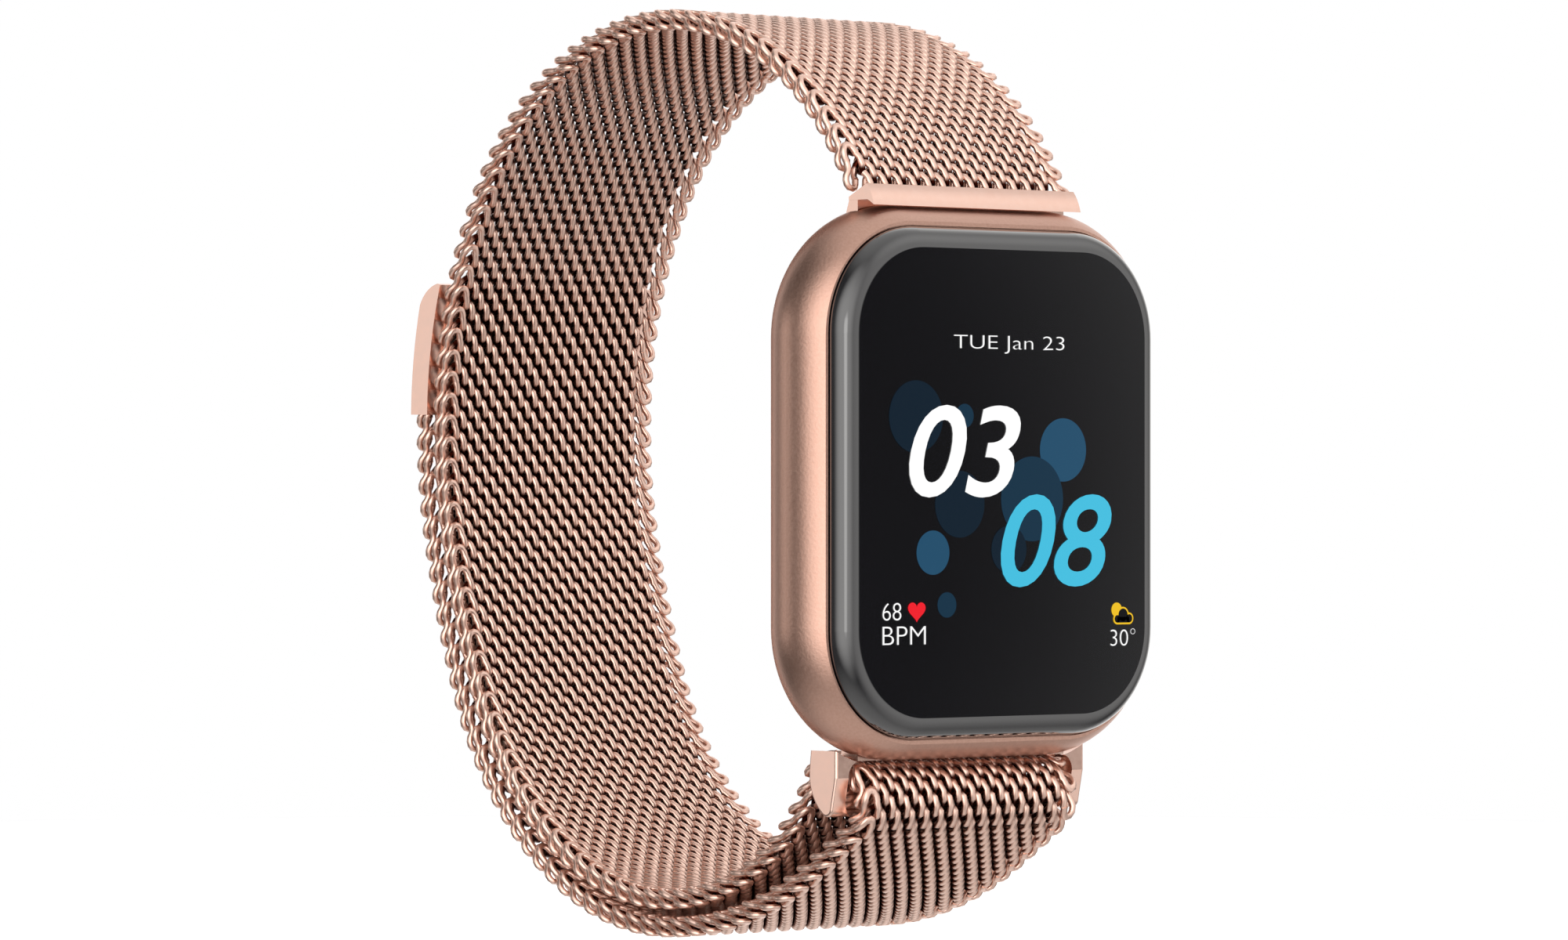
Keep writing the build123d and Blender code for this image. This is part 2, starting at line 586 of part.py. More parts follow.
# ---------------------------------------------------------------- side button
with BuildPart() as side_button:
    with BuildSketch(at_x(HEAD_IN_X)):
        with Locations((BUTTON_Y, BUTTON_Z)):
            RectangleRounded(BUTTON_W, BUTTON_L, BUTTON_W / 2 - 0.01)
    extrude(amount=BUTTON_HEAD_T)
    fillet(side_button.faces().sort_by(Axis.X)[-1].edges(), 0.3)
    with BuildSketch(at_x(WALL_IN_X - STEM_END)):
        with Locations((BUTTON_Y, BUTTON_Z)):
            Circle(STEM_R)
    extrude(amount=HEAD_IN_X - WALL_IN_X + STEM_END)
    with BuildSketch(at_x(WALL_IN_X - 0.05 - CLIP_T)):
        with Locations((BUTTON_Y, BUTTON_Z)):
            Circle(STEM_R)
            Circle(STEM_R - 0.2, mode=Mode.SUBTRACT)
    extrude(amount=CLIP_T, mode=Mode.SUBTRACT)
save(side_button, "side_button")

with BuildPart() as button_clip:
    with BuildSketch(at_x(WALL_IN_X - 0.05 - CLIP_T)):
        with Locations((BUTTON_Y, BUTTON_Z)):
            Circle(CLIP_R)
            Circle(STEM_R - 0.2, mode=Mode.SUBTRACT)
        with Locations((BUTTON_Y + CLIP_R, BUTTON_Z)):
            Rectangle(2 * CLIP_R, 1.0, mode=Mode.SUBTRACT)
    extrude(amount=CLIP_T)
save(button_clip, "button_clip")

with BuildPart() as button_seal:
    with BuildSketch(Plane.XY.offset(BUTTON_Z)):
        with Locations((RECESS_X - ORING_R - 0.08, BUTTON_Y + STEM_R + ORING_R + 0.02)):
            Circle(ORING_R)
    revolve(axis=Axis((0, BUTTON_Y, BUTTON_Z), (1, 0, 0)))
save(button_seal, "button_seal")

SWITCH_X = WALL_IN_X - STEM_END - SWITCH_GAP
with BuildPart() as button_switch:
    with BuildSketch(at_x(SWITCH_X - SWITCH_T)):
        with Locations((BUTTON_Y, BUTTON_Z)):
            Rectangle(SWITCH_W, SWITCH_H)
    extrude(amount=SWITCH_T)
save(button_switch, "button_switch")

# ---------------------------------------------------------------- spring bars
LEVER_X = -(LUG_W / 2) + LEVER_IN
BODY_END_X = LEVER_X + LEVER_BODY
STOP_X = BODY_END_X + LEVER_TRAVEL + 0.05 + SPRING_L
TUBE_END_X = LUG_W / 2 - BAR_END_GAP
for label, end in (("top", 1), ("bottom", -1)):
    with BuildPart() as bar_tube:
        with BuildSketch(at_x(-TUBE_END_X)):
            with Locations((LUG_Y, end * LUG_Z)):
                Circle(BAR_R)
        extrude(amount=2 * TUBE_END_X)
        with BuildSketch(at_x(-TUBE_END_X)):
            with Locations((LUG_Y, end * LUG_Z)):
                Circle(PIN_R + PIN_FIT)
        extrude(amount=1.0, mode=Mode.SUBTRACT)
        with BuildSketch(at_x(-TUBE_END_X + 0.3)):
            with Locations((LUG_Y, end * LUG_Z)):
                Circle(BAR_R - BAR_WALL)
        extrude(amount=STOP_X + TUBE_END_X - 0.3, mode=Mode.SUBTRACT)
        # slot for the lever, on the wrist side
        with BuildSketch(Plane.XZ.offset(-LUG_Y)):
            with Locations((LEVER_X + LEVER_TRAVEL / 2, end * LUG_Z)):
                Rectangle(LEVER_W + LEVER_TRAVEL + 2 * SLOT_FIT, LEVER_W + SLOT_FIT)
        extrude(amount=-2 * BAR_R, mode=Mode.SUBTRACT)
        with BuildSketch(at_x(TUBE_END_X)):
            with Locations((LUG_Y, end * LUG_Z)):
                Circle(PIN_R)
        extrude(amount=PIN_END - TUBE_END_X)
    save(bar_tube, label + "_bar_tube")

    with BuildPart() as bar_lever:
        with BuildSketch(at_x(-PIN_END)):
            with Locations((LUG_Y, end * LUG_Z)):
                Circle(PIN_R)
        extrude(amount=BODY_END_X + PIN_END)
        with BuildSketch(at_x(-TUBE_END_X + 0.35)):
            with Locations((LUG_Y, end * LUG_Z)):
                Circle(BAR_R - BAR_WALL - 0.05)
        extrude(amount=BODY_END_X + TUBE_END_X - 0.35)
        with BuildSketch(Plane.XZ.offset(-LUG_Y)):
            with Locations((LEVER_X, end * LUG_Z)):
                Rectangle(LEVER_W, LEVER_W - SLOT_FIT)
        extrude(amount=-(KNUCKLE_R + LEVER_REACH))
    save(bar_lever, label + "_bar_lever")

    with BuildPart() as bar_spring:
        with BuildSketch(at_x(STOP_X - SPRING_L)):
            with Locations((LUG_Y, end * LUG_Z)):
                Circle(BAR_R - BAR_WALL - 0.05)
                Circle(BAR_R - BAR_WALL - 0.25, mode=Mode.SUBTRACT)
        extrude(amount=SPRING_L - 0.02)
    save(bar_spring, label + "_bar_spring")

# ---------------------------------------------------------------- end cap at 12 o'clock
NECK_W = LUG_W - 2 * BAR_END_GAP
with BuildPart() as end_cap:
    with BuildSketch(at_x(0)):
        with Locations((LUG_Y, LUG_Z)):
            Circle(KNUCKLE_R)
        with BuildLine():
            Polyline((LUG_Y - KNUCKLE_R + 0.1, LUG_Z), (LUG_Y - KNUCKLE_R + 0.1, CAP_REAR[1] - 0.05),
                     (CAP_REAR[0] - 0.05, CAP_REAR[1] - 0.05), (LUG_Y + 0.6, LUG_Z), close=True)
        make_face()
    extrude(amount=NECK_W / 2, both=True)
    with BuildSketch(at_x(0)):
        with BuildLine():
            Polyline(CAP_FRONT, CAP_LIP, CAP_UNDER, CAP_REAR_LOW, CAP_REAR, CAP_TOP)
            ThreePointArc(CAP_TOP, CAP_BULGE, CAP_FRONT)
        make_face()
    extrude(amount=CAP_W / 2, both=True)
    with BuildSketch(at_x(0)):
        with Locations((LUG_Y, LUG_Z)):
            Circle(BAR_R + BAR_PRESS)
    extrude(amount=NECK_W, both=True, mode=Mode.SUBTRACT)
    with BuildSketch(Plane.XZ.offset(-LUG_Y)):
        with Locations((LEVER_X + LEVER_TRAVEL / 2, LUG_Z)):
            Rectangle(LEVER_W + LEVER_TRAVEL + 2 * WINDOW_FIT, LEVER_W + 2 * WINDOW_FIT)
    extrude(amount=-2 * KNUCKLE_R, mode=Mode.SUBTRACT)
    # pocket for the tongue of mesh, along the strap's line
    with BuildSketch(at_x(0)):
        with BuildLine():
            deep = shift(CAP_EXIT, PATH_HEADING, -CAP_POCKET)
            out = shift(CAP_EXIT, PATH_HEADING, LEAD_IN)
            straight(deep, out, PATH_HEADING, TONGUE_T / 2)
            end_line(deep, PATH_HEADING, TONGUE_T / 2)
            end_line(out, PATH_HEADING, TONGUE_T / 2)
        make_face()
    extrude(amount=CAP_W / 2 - TONGUE_INSET, both=True, mode=Mode.SUBTRACT)
save(end_cap, "end_cap")

# ---------------------------------------------------------------- woven band
with BuildPart() as mesh_upper:
    with BuildSketch(at_x(0)):
        with BuildLine():
            sides(upper, HALF)
            start = shift(CAP_EXIT, PATH_HEADING, MESH_START)
            straight(start, upper_start, PATH_HEADING, HALF)
            end_line(start, PATH_HEADING, HALF)
            end_line(upper_end, upper_head, HALF)
        make_face()
        with Locations((BEND_Y, BEND_TOP_Z)):
            Circle(HALF)
    extrude(amount=MESH_W / 2, both=True)
    # tongue held in the end cap
    with BuildSketch(at_x(0)):
        with BuildLine():
            tip = shift(start, PATH_HEADING, -CAP_POCKET)
            straight(tip, start, PATH_HEADING, TONGUE_T / 2)
            end_line(tip, PATH_HEADING, TONGUE_T / 2)
            end_line(start, PATH_HEADING, TONGUE_T / 2)
        make_face()
    extrude(amount=CAP_W / 2 - TONGUE_INSET - TONGUE_FIT, both=True)
save(mesh_upper, "mesh_upper")

with BuildPart() as mesh_back:
    with BuildSketch(at_x(0)):
        with BuildLine():
            sides(back_a, HALF)
            straight(run_top, run_low, -90, HALF)
            sides(back_b, HALF)
            end_line(upper_end, upper_head, HALF)
            end_line(back_end, back_head, HALF)
        make_face()
        with Locations((BEND_Y, BEND_TOP_Z)):
            Circle(HALF + HINGE_GAP, mode=Mode.SUBTRACT)
        with Locations((BEND_Y, BEND_LOW_Z)):
            Circle(HALF)
    extrude(amount=MESH_W / 2, both=True)
save(mesh_back, "mesh_back")

# under the wrist, through the buckle slot, round its crossbar and back as the tail
with BuildPart() as mesh_lower:
    with BuildSketch(at_x(0)):
        with BuildLine():
            sides(lower, HALF)
            sides(fold_a, HALF)
            straight(fold_mid, fold_run, fold_head, HALF)
            straight(fold_end, tail_touch, tail_heading, HALF)
            sides(fold_b, HALF)
            sides(tail_low, HALF)
            end_line(back_end, back_head, HALF)
            end_line(tail_low_end, tail_low_head, HALF)
        make_face()
        with Locations((BEND_Y, BEND_LOW_Z)):
            Circle(HALF + HINGE_GAP, mode=Mode.SUBTRACT)
    extrude(amount=MESH_W / 2, both=True)
save(mesh_lower, "mesh_lower")

for label, arcs, first, first_head, last, last_head in (
        ("tail_mesh_1", tail_1, PEEL_1, bend_heading, PEEL_2, head_2),
        ("tail_mesh_2", tail_2, PEEL_2, head_2, PEEL_3, head_3)):
    with BuildPart() as tail_mesh:
        with BuildSketch(at_x(0)):
            with BuildLine():
                sides(arcs, HALF)
                end_line(first, first_head, HALF)
                end_line(last, last_head, HALF)
            make_face()
            if label == "tail_mesh_1":
                with Locations(first):
                    Circle(HALF)
            else:
                with Locations(first):
                    Circle(HALF + HINGE_GAP, mode=Mode.SUBTRACT)
            with Locations(last):
                Circle(HALF)
        extrude(amount=MESH_W / 2, both=True)
    save(tail_mesh, label)

with BuildPart() as tail_mesh_3:
    with BuildSketch(at_x(0)):
        with BuildLine():
            sides(tail_3a, HALF)
            straight(tail_run_low, tail_run_top, 90, HALF)
            sides(tail_3b, HALF)
            end_line(PEEL_3, head_3, HALF)
            end_line(tail_tip, tail_tip_head, HALF)
        make_face()
        with Locations(PEEL_3):
            Circle(HALF + HINGE_GAP, mode=Mode.SUBTRACT)
    extrude(amount=MESH_W / 2, both=True)
save(tail_mesh_3, "tail_mesh_3")

# ---------------------------------------------------------------- buckle frame at 6 o'clock
with BuildPart() as buckle_frame:
    with BuildSketch(at_x(0)):
        with BuildLine():
            Line(FRAME_REAR, FRAME_SHOULDER)
            ThreePointArc(FRAME_SHOULDER, FRAME_ROUND, FRAME_FOOT)
            ThreePointArc(FRAME_FOOT, FRAME_TOE, FRAME_TIP)
            Polyline(FRAME_TIP, FRAME_KNEE, (FRAME_FRONT_Y, FRAME_TOP_Z), FRAME_REAR)
        make_face()
    extrude(amount=FRAME_W / 2, both=True)
    fillet(buckle_frame.faces().filter_by(Axis.X).edges(), FRAME_EDGE_ROUND)
    # slot with rounded ends, and the room round the crossbar for the folded mesh
    with BuildSketch(at_y(CASE_BACK_Y)):
        with Locations((0, (FRAME_BAND_Z + SLOT_BOTTOM_Z) / 2)):
            RectangleRounded(FRAME_SLOT_W, FRAME_BAND_Z - SLOT_BOTTOM_Z, SLOT_CORNER)
    extrude(amount=2 * SIDE_ROUND, mode=Mode.SUBTRACT)
    with BuildSketch(at_y(WELL_Y)):
        with Locations((0, (WELL_TOP_Z + WELL_BOTTOM_Z) / 2)):
            Rectangle(FRAME_SLOT_W, WELL_TOP_Z - WELL_BOTTOM_Z)
    extrude(amount=-2 * CROSSBAR_R, mode=Mode.SUBTRACT)
    with BuildSketch(at_x(0)):
        with Locations(CROSSBAR):
            Circle(CROSSBAR_R)
    extrude(amount=FRAME_SLOT_W / 2 + 0.3, both=True)
    # room for the case
    with BuildSketch(at_y(CASE_BACK_Y + FRAME_CASE_GAP)):
        RectangleRounded(CASE_W + 2 * FRAME_CASE_GAP, CASE_H + 2 * FRAME_CASE_GAP,
                         CASE_CORNER + FRAME_CASE_GAP)
    extrude(amount=2 * (SIDE_ROUND + FRAME_CASE_GAP) + 0.05, mode=Mode.SUBTRACT)
    # neck and tube between the lugs
    with BuildSketch(at_x(0)):
        with Locations((LUG_Y, -LUG_Z)):
            Circle(KNUCKLE_R)
        with Locations(((FRAME_FRONT_Y + NECK_REAR_Y) / 2, (FRAME_BAND_Z - LUG_Z) / 2)):
            Rectangle(NECK_REAR_Y - FRAME_FRONT_Y, -FRAME_BAND_Z - LUG_Z)
    extrude(amount=NECK_W / 2, both=True)
    with BuildSketch(at_x(0)):
        with Locations((LUG_Y, -LUG_Z)):
            Circle(BAR_R + BAR_PRESS)
    extrude(amount=FRAME_W, both=True, mode=Mode.SUBTRACT)
    # the mesh runs through here
    with BuildSketch(at_x(0)):
        with BuildLine():
            sides(lower[-1:], HALF + MESH_ROOM)
            sides(fold_a, HALF + MESH_ROOM)
            sides(fold_b, HALF + MESH_ROOM)
            straight(fold_mid, fold_run, fold_head, HALF + MESH_ROOM)
            end_line(shift(lower[-1][0], lower[-1][2], lower[-1][1]), lower_head - lower[-1][3],
                     HALF + MESH_ROOM)
            end_line(fold_end, tail_heading, HALF + MESH_ROOM)
        make_face()
    extrude(amount=MESH_W / 2 + MESH_ROOM, both=True, mode=Mode.SUBTRACT)
    with BuildSketch(Plane.XZ.offset(-LUG_Y)):
        with Locations((LEVER_X + LEVER_TRAVEL / 2, -LUG_Z)):
            Rectangle(LEVER_W + LEVER_TRAVEL + 2 * WINDOW_FIT, LEVER_W + 2 * WINDOW_FIT)
    extrude(amount=-2 * KNUCKLE_R, mode=Mode.SUBTRACT)
save(buckle_frame, "buckle_frame")

# ---------------------------------------------------------------- magnetic clasp
top_centre = back_a[0][0]
clasp_in = BACK_R + HALF + CLASP_LIFT
clasp_out = clasp_in + CLASP_T


def ring_piece(inner, outer, start_angle, sweep):
    """Closed outline between two radii about the back's upper arc."""
    CenterArc(top_centre, inner, start_angle, sweep)
    CenterArc(top_centre, outer, start_angle, sweep)
    for angle in (start_angle, start_angle + sweep):
        Line(shift(top_centre, angle, inner), shift(top_centre, angle, outer))


per_mm = degrees(1 / clasp_in)
with BuildPart() as clasp_shell:
    with BuildSketch(at_x(0)):
        with BuildLine():
            ring_piece(clasp_in, clasp_out, CLASP_START, clasp_sweep)
        make_face()
    extrude(amount=CLASP_W / 2, both=True)
    with BuildSketch(at_x(0)):
        with BuildLine():
            end = CLASP_START + clasp_sweep
            lip = clasp_in + CLASP_NOSE_LIP
            nose_start = end - CLASP_NOSE_L * per_mm
            beyond = end + 2
            mid_angle = end - (1 - sin(radians(45))) * CLASP_NOSE_L * per_mm
            mid_radius = clasp_out - (1 - cos(radians(45))) * (clasp_out - lip)
            ThreePointArc(shift(top_centre, nose_start, clasp_out),
                          shift(top_centre, mid_angle, mid_radius),
                          shift(top_centre, end, lip))
            Polyline(shift(top_centre, end, lip), shift(top_centre, beyond, lip),
                     shift(top_centre, beyond, clasp_out + 1),
                     shift(top_centre, nose_start, clasp_out + 1),
                     shift(top_centre, nose_start, clasp_out))
        make_face()
    extrude(amount=CLASP_W / 2, both=True, mode=Mode.SUBTRACT)
    # socket for the end of the tail
    with BuildSketch(at_x(0)):
        with BuildLine():
            ring_piece(clasp_in + CLASP_WALL, clasp_out - CLASP_WALL, CLASP_START - 1,
                       1 + CLASP_GRIP * per_mm)
        make_face()
    extrude(amount=MESH_W / 2 + CLASP_SIDE_FIT, both=True, mode=Mode.SUBTRACT)
    # magnet chamber, closed by the inner plate
    with BuildSketch(at_x(0)):
        with BuildLine():
            ring_piece(clasp_in - 0.1, clasp_in + CLASP_PLATE_T + MAGNET_BAR_T + MAGNET_FIT,
                       CLASP_START + (CLASP_GRIP + MAGNET_SET - MAGNET_FIT) * per_mm,
                       MAGNET_BAR_L * per_mm)
        make_face()
    extrude(amount=MAGNET_BAR_W / 2 + MAGNET_FIT, both=True, mode=Mode.SUBTRACT)
save(clasp_shell, "clasp_shell")

with BuildPart() as clasp_plate:
    with BuildSketch(at_x(0)):
        with BuildLine():
            ring_piece(clasp_in, clasp_in + CLASP_PLATE_T,
                       CLASP_START + (CLASP_GRIP + MAGNET_SET) * per_mm,
                       (MAGNET_BAR_L - 2 * MAGNET_FIT) * per_mm)
        make_face()
    extrude(amount=MAGNET_BAR_W / 2, both=True)
save(clasp_plate, "clasp_plate")

with BuildPart() as clasp_magnets:
    with BuildSketch(at_x(0)):
        with BuildLine():
            ring_piece(clasp_in + CLASP_PLATE_T, clasp_in + CLASP_PLATE_T + MAGNET_BAR_T,
                       CLASP_START + (CLASP_GRIP + MAGNET_SET + MAGNET_FIT) * per_mm,
                       (MAGNET_BAR_L - 4 * MAGNET_FIT) * per_mm)
        make_face()
    extrude(amount=MAGNET_BAR_W / 2, both=True)
    with BuildSketch(Plane.XY.offset(-CASE_H)):
        with Locations((-MAGNET_BAR_W / 4, BEND_Y), (0, BEND_Y), (MAGNET_BAR_W / 4, BEND_Y)):
            Rectangle(MAGNET_SPLIT, CASE_H)
    extrude(amount=2 * CASE_H, mode=Mode.SUBTRACT)
save(clasp_magnets, "clasp_magnets")
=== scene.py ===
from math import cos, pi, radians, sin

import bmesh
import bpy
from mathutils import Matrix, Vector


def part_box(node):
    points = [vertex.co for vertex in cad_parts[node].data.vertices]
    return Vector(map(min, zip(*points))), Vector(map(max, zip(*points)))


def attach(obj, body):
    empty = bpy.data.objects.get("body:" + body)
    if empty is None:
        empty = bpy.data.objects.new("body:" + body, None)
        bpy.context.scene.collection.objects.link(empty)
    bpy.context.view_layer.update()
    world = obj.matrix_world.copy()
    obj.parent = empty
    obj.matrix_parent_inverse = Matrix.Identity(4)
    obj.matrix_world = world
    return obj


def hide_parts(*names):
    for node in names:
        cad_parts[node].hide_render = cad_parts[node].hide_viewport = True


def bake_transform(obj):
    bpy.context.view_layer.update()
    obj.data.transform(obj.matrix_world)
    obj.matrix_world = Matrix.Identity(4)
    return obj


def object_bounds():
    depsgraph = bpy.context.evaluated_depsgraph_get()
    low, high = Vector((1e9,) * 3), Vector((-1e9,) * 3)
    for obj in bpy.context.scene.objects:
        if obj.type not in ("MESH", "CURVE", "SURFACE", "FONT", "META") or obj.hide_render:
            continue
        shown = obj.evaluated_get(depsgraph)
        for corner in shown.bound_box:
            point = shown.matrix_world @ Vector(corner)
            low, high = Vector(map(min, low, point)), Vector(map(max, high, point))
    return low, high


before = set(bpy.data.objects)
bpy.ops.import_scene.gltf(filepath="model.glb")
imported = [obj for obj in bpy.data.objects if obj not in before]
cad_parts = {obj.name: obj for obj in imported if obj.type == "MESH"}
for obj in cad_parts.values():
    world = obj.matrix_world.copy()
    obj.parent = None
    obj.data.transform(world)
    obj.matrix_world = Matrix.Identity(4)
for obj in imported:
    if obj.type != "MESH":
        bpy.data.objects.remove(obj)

# %% [markdown]
# # A smartwatch on a woven-mesh loop
# The watch is a bead-blasted rose-gold metal case under a curved-edge black glass. It sits on a
# magnetic loop strap of woven steel wire. The CAD parts give every size and every place, and
# this script gives them their finishes and replaces the plain CAD strap with real woven wire.
# The first cell keeps the CAD model's box.

MM = 0.001                         # the sizes below are in millimetres, Blender works in metres
cad_box = [list(corner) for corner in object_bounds()]
scene = bpy.context.scene
print("CAD box, mm:", [[round(v / MM, 2) for v in corner] for corner in cad_box])

# %% [markdown]
# ## Camera
# A watch this small is photographed with a long lens, from about half a metre away, so that
# the near and the far side of the loop are almost the same size. The camera is level and
# stands 41 degrees to the left of the display, and a slight lens shift frames the whole loop
# without tilting the camera, which would make the case's sides lean.

# %% Camera
camera_data = bpy.data.cameras.new("studio_camera")
camera_data.sensor_width = 36.0
camera_data.lens = 150.14
camera_data.shift_y = 0.019
camera_data.clip_start, camera_data.clip_end = 0.01, 20.0
camera = bpy.data.objects.new("studio_camera", camera_data)
camera.location = (-334.45 * MM, -387.68 * MM, -1.27 * MM)
camera.rotation_euler = (radians(90), 0, radians(-41))
scene.collection.objects.link(camera)
scene.camera = camera
print("camera", round(camera.location.length / MM), "mm from the middle of the wrist opening")

# %% [markdown]
# ## One helper for every node tree
# Materials, the world and the Geometry Nodes trees are all built from nodes. One small
# function adds a node, sets its options, and fills its inputs with plain values or with
# other nodes' outputs, so each tree below reads as a list of what it does.

# %% Node and colour helpers
def add(tree, kind, inputs=None, **options):
    """Adds a node with its options, and its inputs as values or as linked sockets."""
    made = tree.nodes.new(kind)
    for name, value in options.items():
        setattr(made, name, value)
    for name, value in (inputs or {}).items():
        if isinstance(value, bpy.types.NodeSocket):
            tree.links.new(value, made.inputs[name])
        else:
            made.inputs[name].default_value = value
    return made


def linear(hex_colour):
    """An sRGB hex colour as the linear red, green, blue and alpha that shaders use."""
    parts = [int(hex_colour[i:i + 2], 16) / 255 for i in (1, 3, 5)]
    return [p / 12.92 if p <= 0.04045 else ((p + 0.055) / 1.055) ** 2.4 for p in parts] + [1.0]


print("white in linear light:", linear("#ffffff"))

# %% [markdown]
# ## Studio light
# Polished and blasted metal shows the room more than it shows itself. The world is a plain
# studio: white as a background, and for everything else a soft box built from a few smooth
# lobes. The key light is beside the camera, and softer ones are overhead, behind, in front
# to the right, and below. A small black flag stands where the flat of the glass mirrors
# the studio, so the display stays black. Lobes give no hard edges and little noise.

# %% World
world = bpy.data.worlds.new("studio_world")
scene.world = world
world.use_nodes = True
sky = world.node_tree
sky.nodes.clear()
direction = add(sky, "ShaderNodeTexCoord").outputs["Generated"]
# direction of each lobe's middle, how far it spreads (cosine where it starts), and its light
LOBES = [((0.30, -0.10, 1.0), 0.50, 0.72),     # overhead softbox
         ((-0.77, -0.64, 0.20), 0.55, 1.80),   # beside the camera, the key light
         ((-0.62, -0.78, 0.10), 0.975, 1.8),   # a narrow strip of light in front of it
         ((-1.0, 0.0, 0.10), 0.50, 0.10),      # left
         ((-0.65, 0.76, 0.05), 0.955, 1.05),   # a narrow one behind, to the left
         ((0.65, 0.76, 0.05), 0.45, 1.10),     # behind, to the right
         ((0.50, -0.80, 0.10), 0.45, 0.9),     # in front, to the right
         ((0.0, 0.0, -1.0), 0.40, 0.62)]       # from below
AMBIENT = 0.10
total = AMBIENT
for middle, start, light in LOBES:
    toward = add(sky, "ShaderNodeVectorMath", {0: direction, 1: Vector(middle).normalized()},
                 operation="DOT_PRODUCT").outputs["Value"]
    lobe = add(sky, "ShaderNodeMapRange", {"Value": toward, "From Min": start, "From Max": 1.0,
                                           "To Min": 0.0, "To Max": light},
               interpolation_type="SMOOTHSTEP").outputs["Result"]
    total = add(sky, "ShaderNodeMath", {0: lobe, 1: total}, operation="ADD").outputs[0]
# the flag: degrees to the right of straight ahead, its dark middle, its soft edge, its light
FLAG_AT, FLAG_DARK, FLAG_EDGE, FLAG_LIGHT = radians(38.5), radians(3.5), radians(10), 0.05
FLAG = Vector((sin(FLAG_AT), -cos(FLAG_AT), 0.0))
toward_flag = add(sky, "ShaderNodeVectorMath", {0: direction, 1: FLAG},
                  operation="DOT_PRODUCT").outputs["Value"]
open_sky = add(sky, "ShaderNodeMapRange", {"Value": toward_flag, "From Min": cos(FLAG_DARK),
                                           "From Max": cos(FLAG_EDGE), "To Min": FLAG_LIGHT,
                                           "To Max": 1.0},
               interpolation_type="SMOOTHSTEP").outputs["Result"]
total = add(sky, "ShaderNodeMath", {0: total, 1: open_sky}, operation="MULTIPLY").outputs[0]
studio = add(sky, "ShaderNodeBackground", {"Color": linear("#fffdfb"), "Strength": total})
backdrop = add(sky, "ShaderNodeBackground", {"Color": linear("#ffffff"), "Strength": 1.0})
seen = add(sky, "ShaderNodeLightPath").outputs["Is Camera Ray"]
shown = add(sky, "ShaderNodeMixShader", {0: seen, 1: studio.outputs[0], 2: backdrop.outputs[0]})
add(sky, "ShaderNodeOutputWorld", {"Surface": shown.outputs[0]})
scene.view_settings.view_transform = "Standard"
print(len(LOBES), "soft lobes in the studio")

# %% Lamps
def softbox(name, place, target, size, power):
    """A square area lamp of this size at place, turned to face target; all in millimetres."""
    lamp_data = bpy.data.lights.new(name, "AREA")
    lamp_data.size = size * MM
    lamp_data.energy = power
    lamp = bpy.data.objects.new(name, lamp_data)
    lamp.location = Vector(place) * MM
    lamp.rotation_euler = (Vector(target) - Vector(place)).to_track_quat("-Z", "Y").to_euler()
    lamp.visible_glossy = False     # the world alone makes the reflections
    scene.collection.objects.link(lamp)


softbox("top_lamp", (-60, -160, 420), (0, 0, 0), 260, 0.6)
softbox("left_lamp", (-330, -280, 110), (0, 0, 0), 200, 0.5)

# %% [markdown]
# ## Floor
# A plain pale table top lies a few millimetres below the loop, so the loop has room to
# swing down on its spring bars.

# %% Floor
REACH = 320.0          # radius of the table top, millimetres
ROOM = 6.5             # under the loop at rest
SIDES = 64
level = cad_box[0][2] - ROOM * MM
floor_mesh = bpy.data.meshes.new("floor")
floor_mesh.from_pydata([(REACH * MM * cos(2 * pi * i / SIDES), REACH * MM * sin(2 * pi * i / SIDES),
                         level) for i in range(SIDES)], [], [tuple(range(SIDES))])
floor = bpy.data.objects.new("floor", floor_mesh)
scene.collection.objects.link(floor)
floor.visible_glossy = False    # the metal shows the studio, not the table top
print("floor at", round(level / MM, 2), "mm")

# %% [markdown]
# ## Finishes
# Every finish starts from the real material and how its surface was made. One function
# mixes two close colours over a grain of a real size, lets the roughness wander a little
# with it, and adds a fine relief. Numbers that are the same all over the surface, such as
# a coat, are set on the shader itself.

# %% One procedural finish
def finish(name, pale, deep, grain, rough, metallic=0.0, relief=0.0, wander=0.05, **sockets):
    """pale and deep are sRGB hex; grain and relief are millimetres; sockets go to the shader."""
    made = bpy.data.materials.new(name)
    made.use_nodes = True
    tree = made.node_tree
    tree.nodes.clear()
    place = add(tree, "ShaderNodeTexCoord").outputs["Object"]
    noise = add(tree, "ShaderNodeTexNoise", {"Vector": place, "Scale": 1 / (grain * MM),
                                             "Detail": 2.0, "Roughness": 0.55})
    noise = noise.outputs[0]
    colour = add(tree, "ShaderNodeMix", {0: noise, 6: linear(deep), 7: linear(pale)},
                 data_type="RGBA")
    roughness = add(tree, "ShaderNodeMapRange", {"Value": noise, "To Max": rough + wander,
                                                 "To Min": max(0.0, rough - wander)})
    inputs = {"Base Color": colour.outputs[2], "Roughness": roughness.outputs[0],
              "Metallic": metallic}
    if relief:
        bump = add(tree, "ShaderNodeBump", {"Height": noise, "Distance": relief * MM,
                                            "Strength": 1.0})
        inputs["Normal"] = bump.outputs[0]
    shader = add(tree, "ShaderNodeBsdfPrincipled", {**inputs, **sockets})
    add(tree, "ShaderNodeOutputMaterial", {"Surface": shader.outputs[0]})
    return made


floor_mesh.materials.append(finish("pale_table_top", "#fdfcfc", "#faf9f9", 6.0, 0.6,
                                  **{"Emission Color": linear("#ffffff"),
                                     "Emission Strength": 0.3}))

# %% [markdown]
# ### Rose-gold metals
# Rose-gold plating is a copper-tinted metal, so its colour is in its reflections. The case
# is bead blasted: tiny glass beads leave thousands of shallow pits, which scatter the light
# into a soft satin with a faint sparkle. The strap's cap, buckle and clasp are polished, and
# the wire is drawn and tumbled, which leaves it nearly as bright.

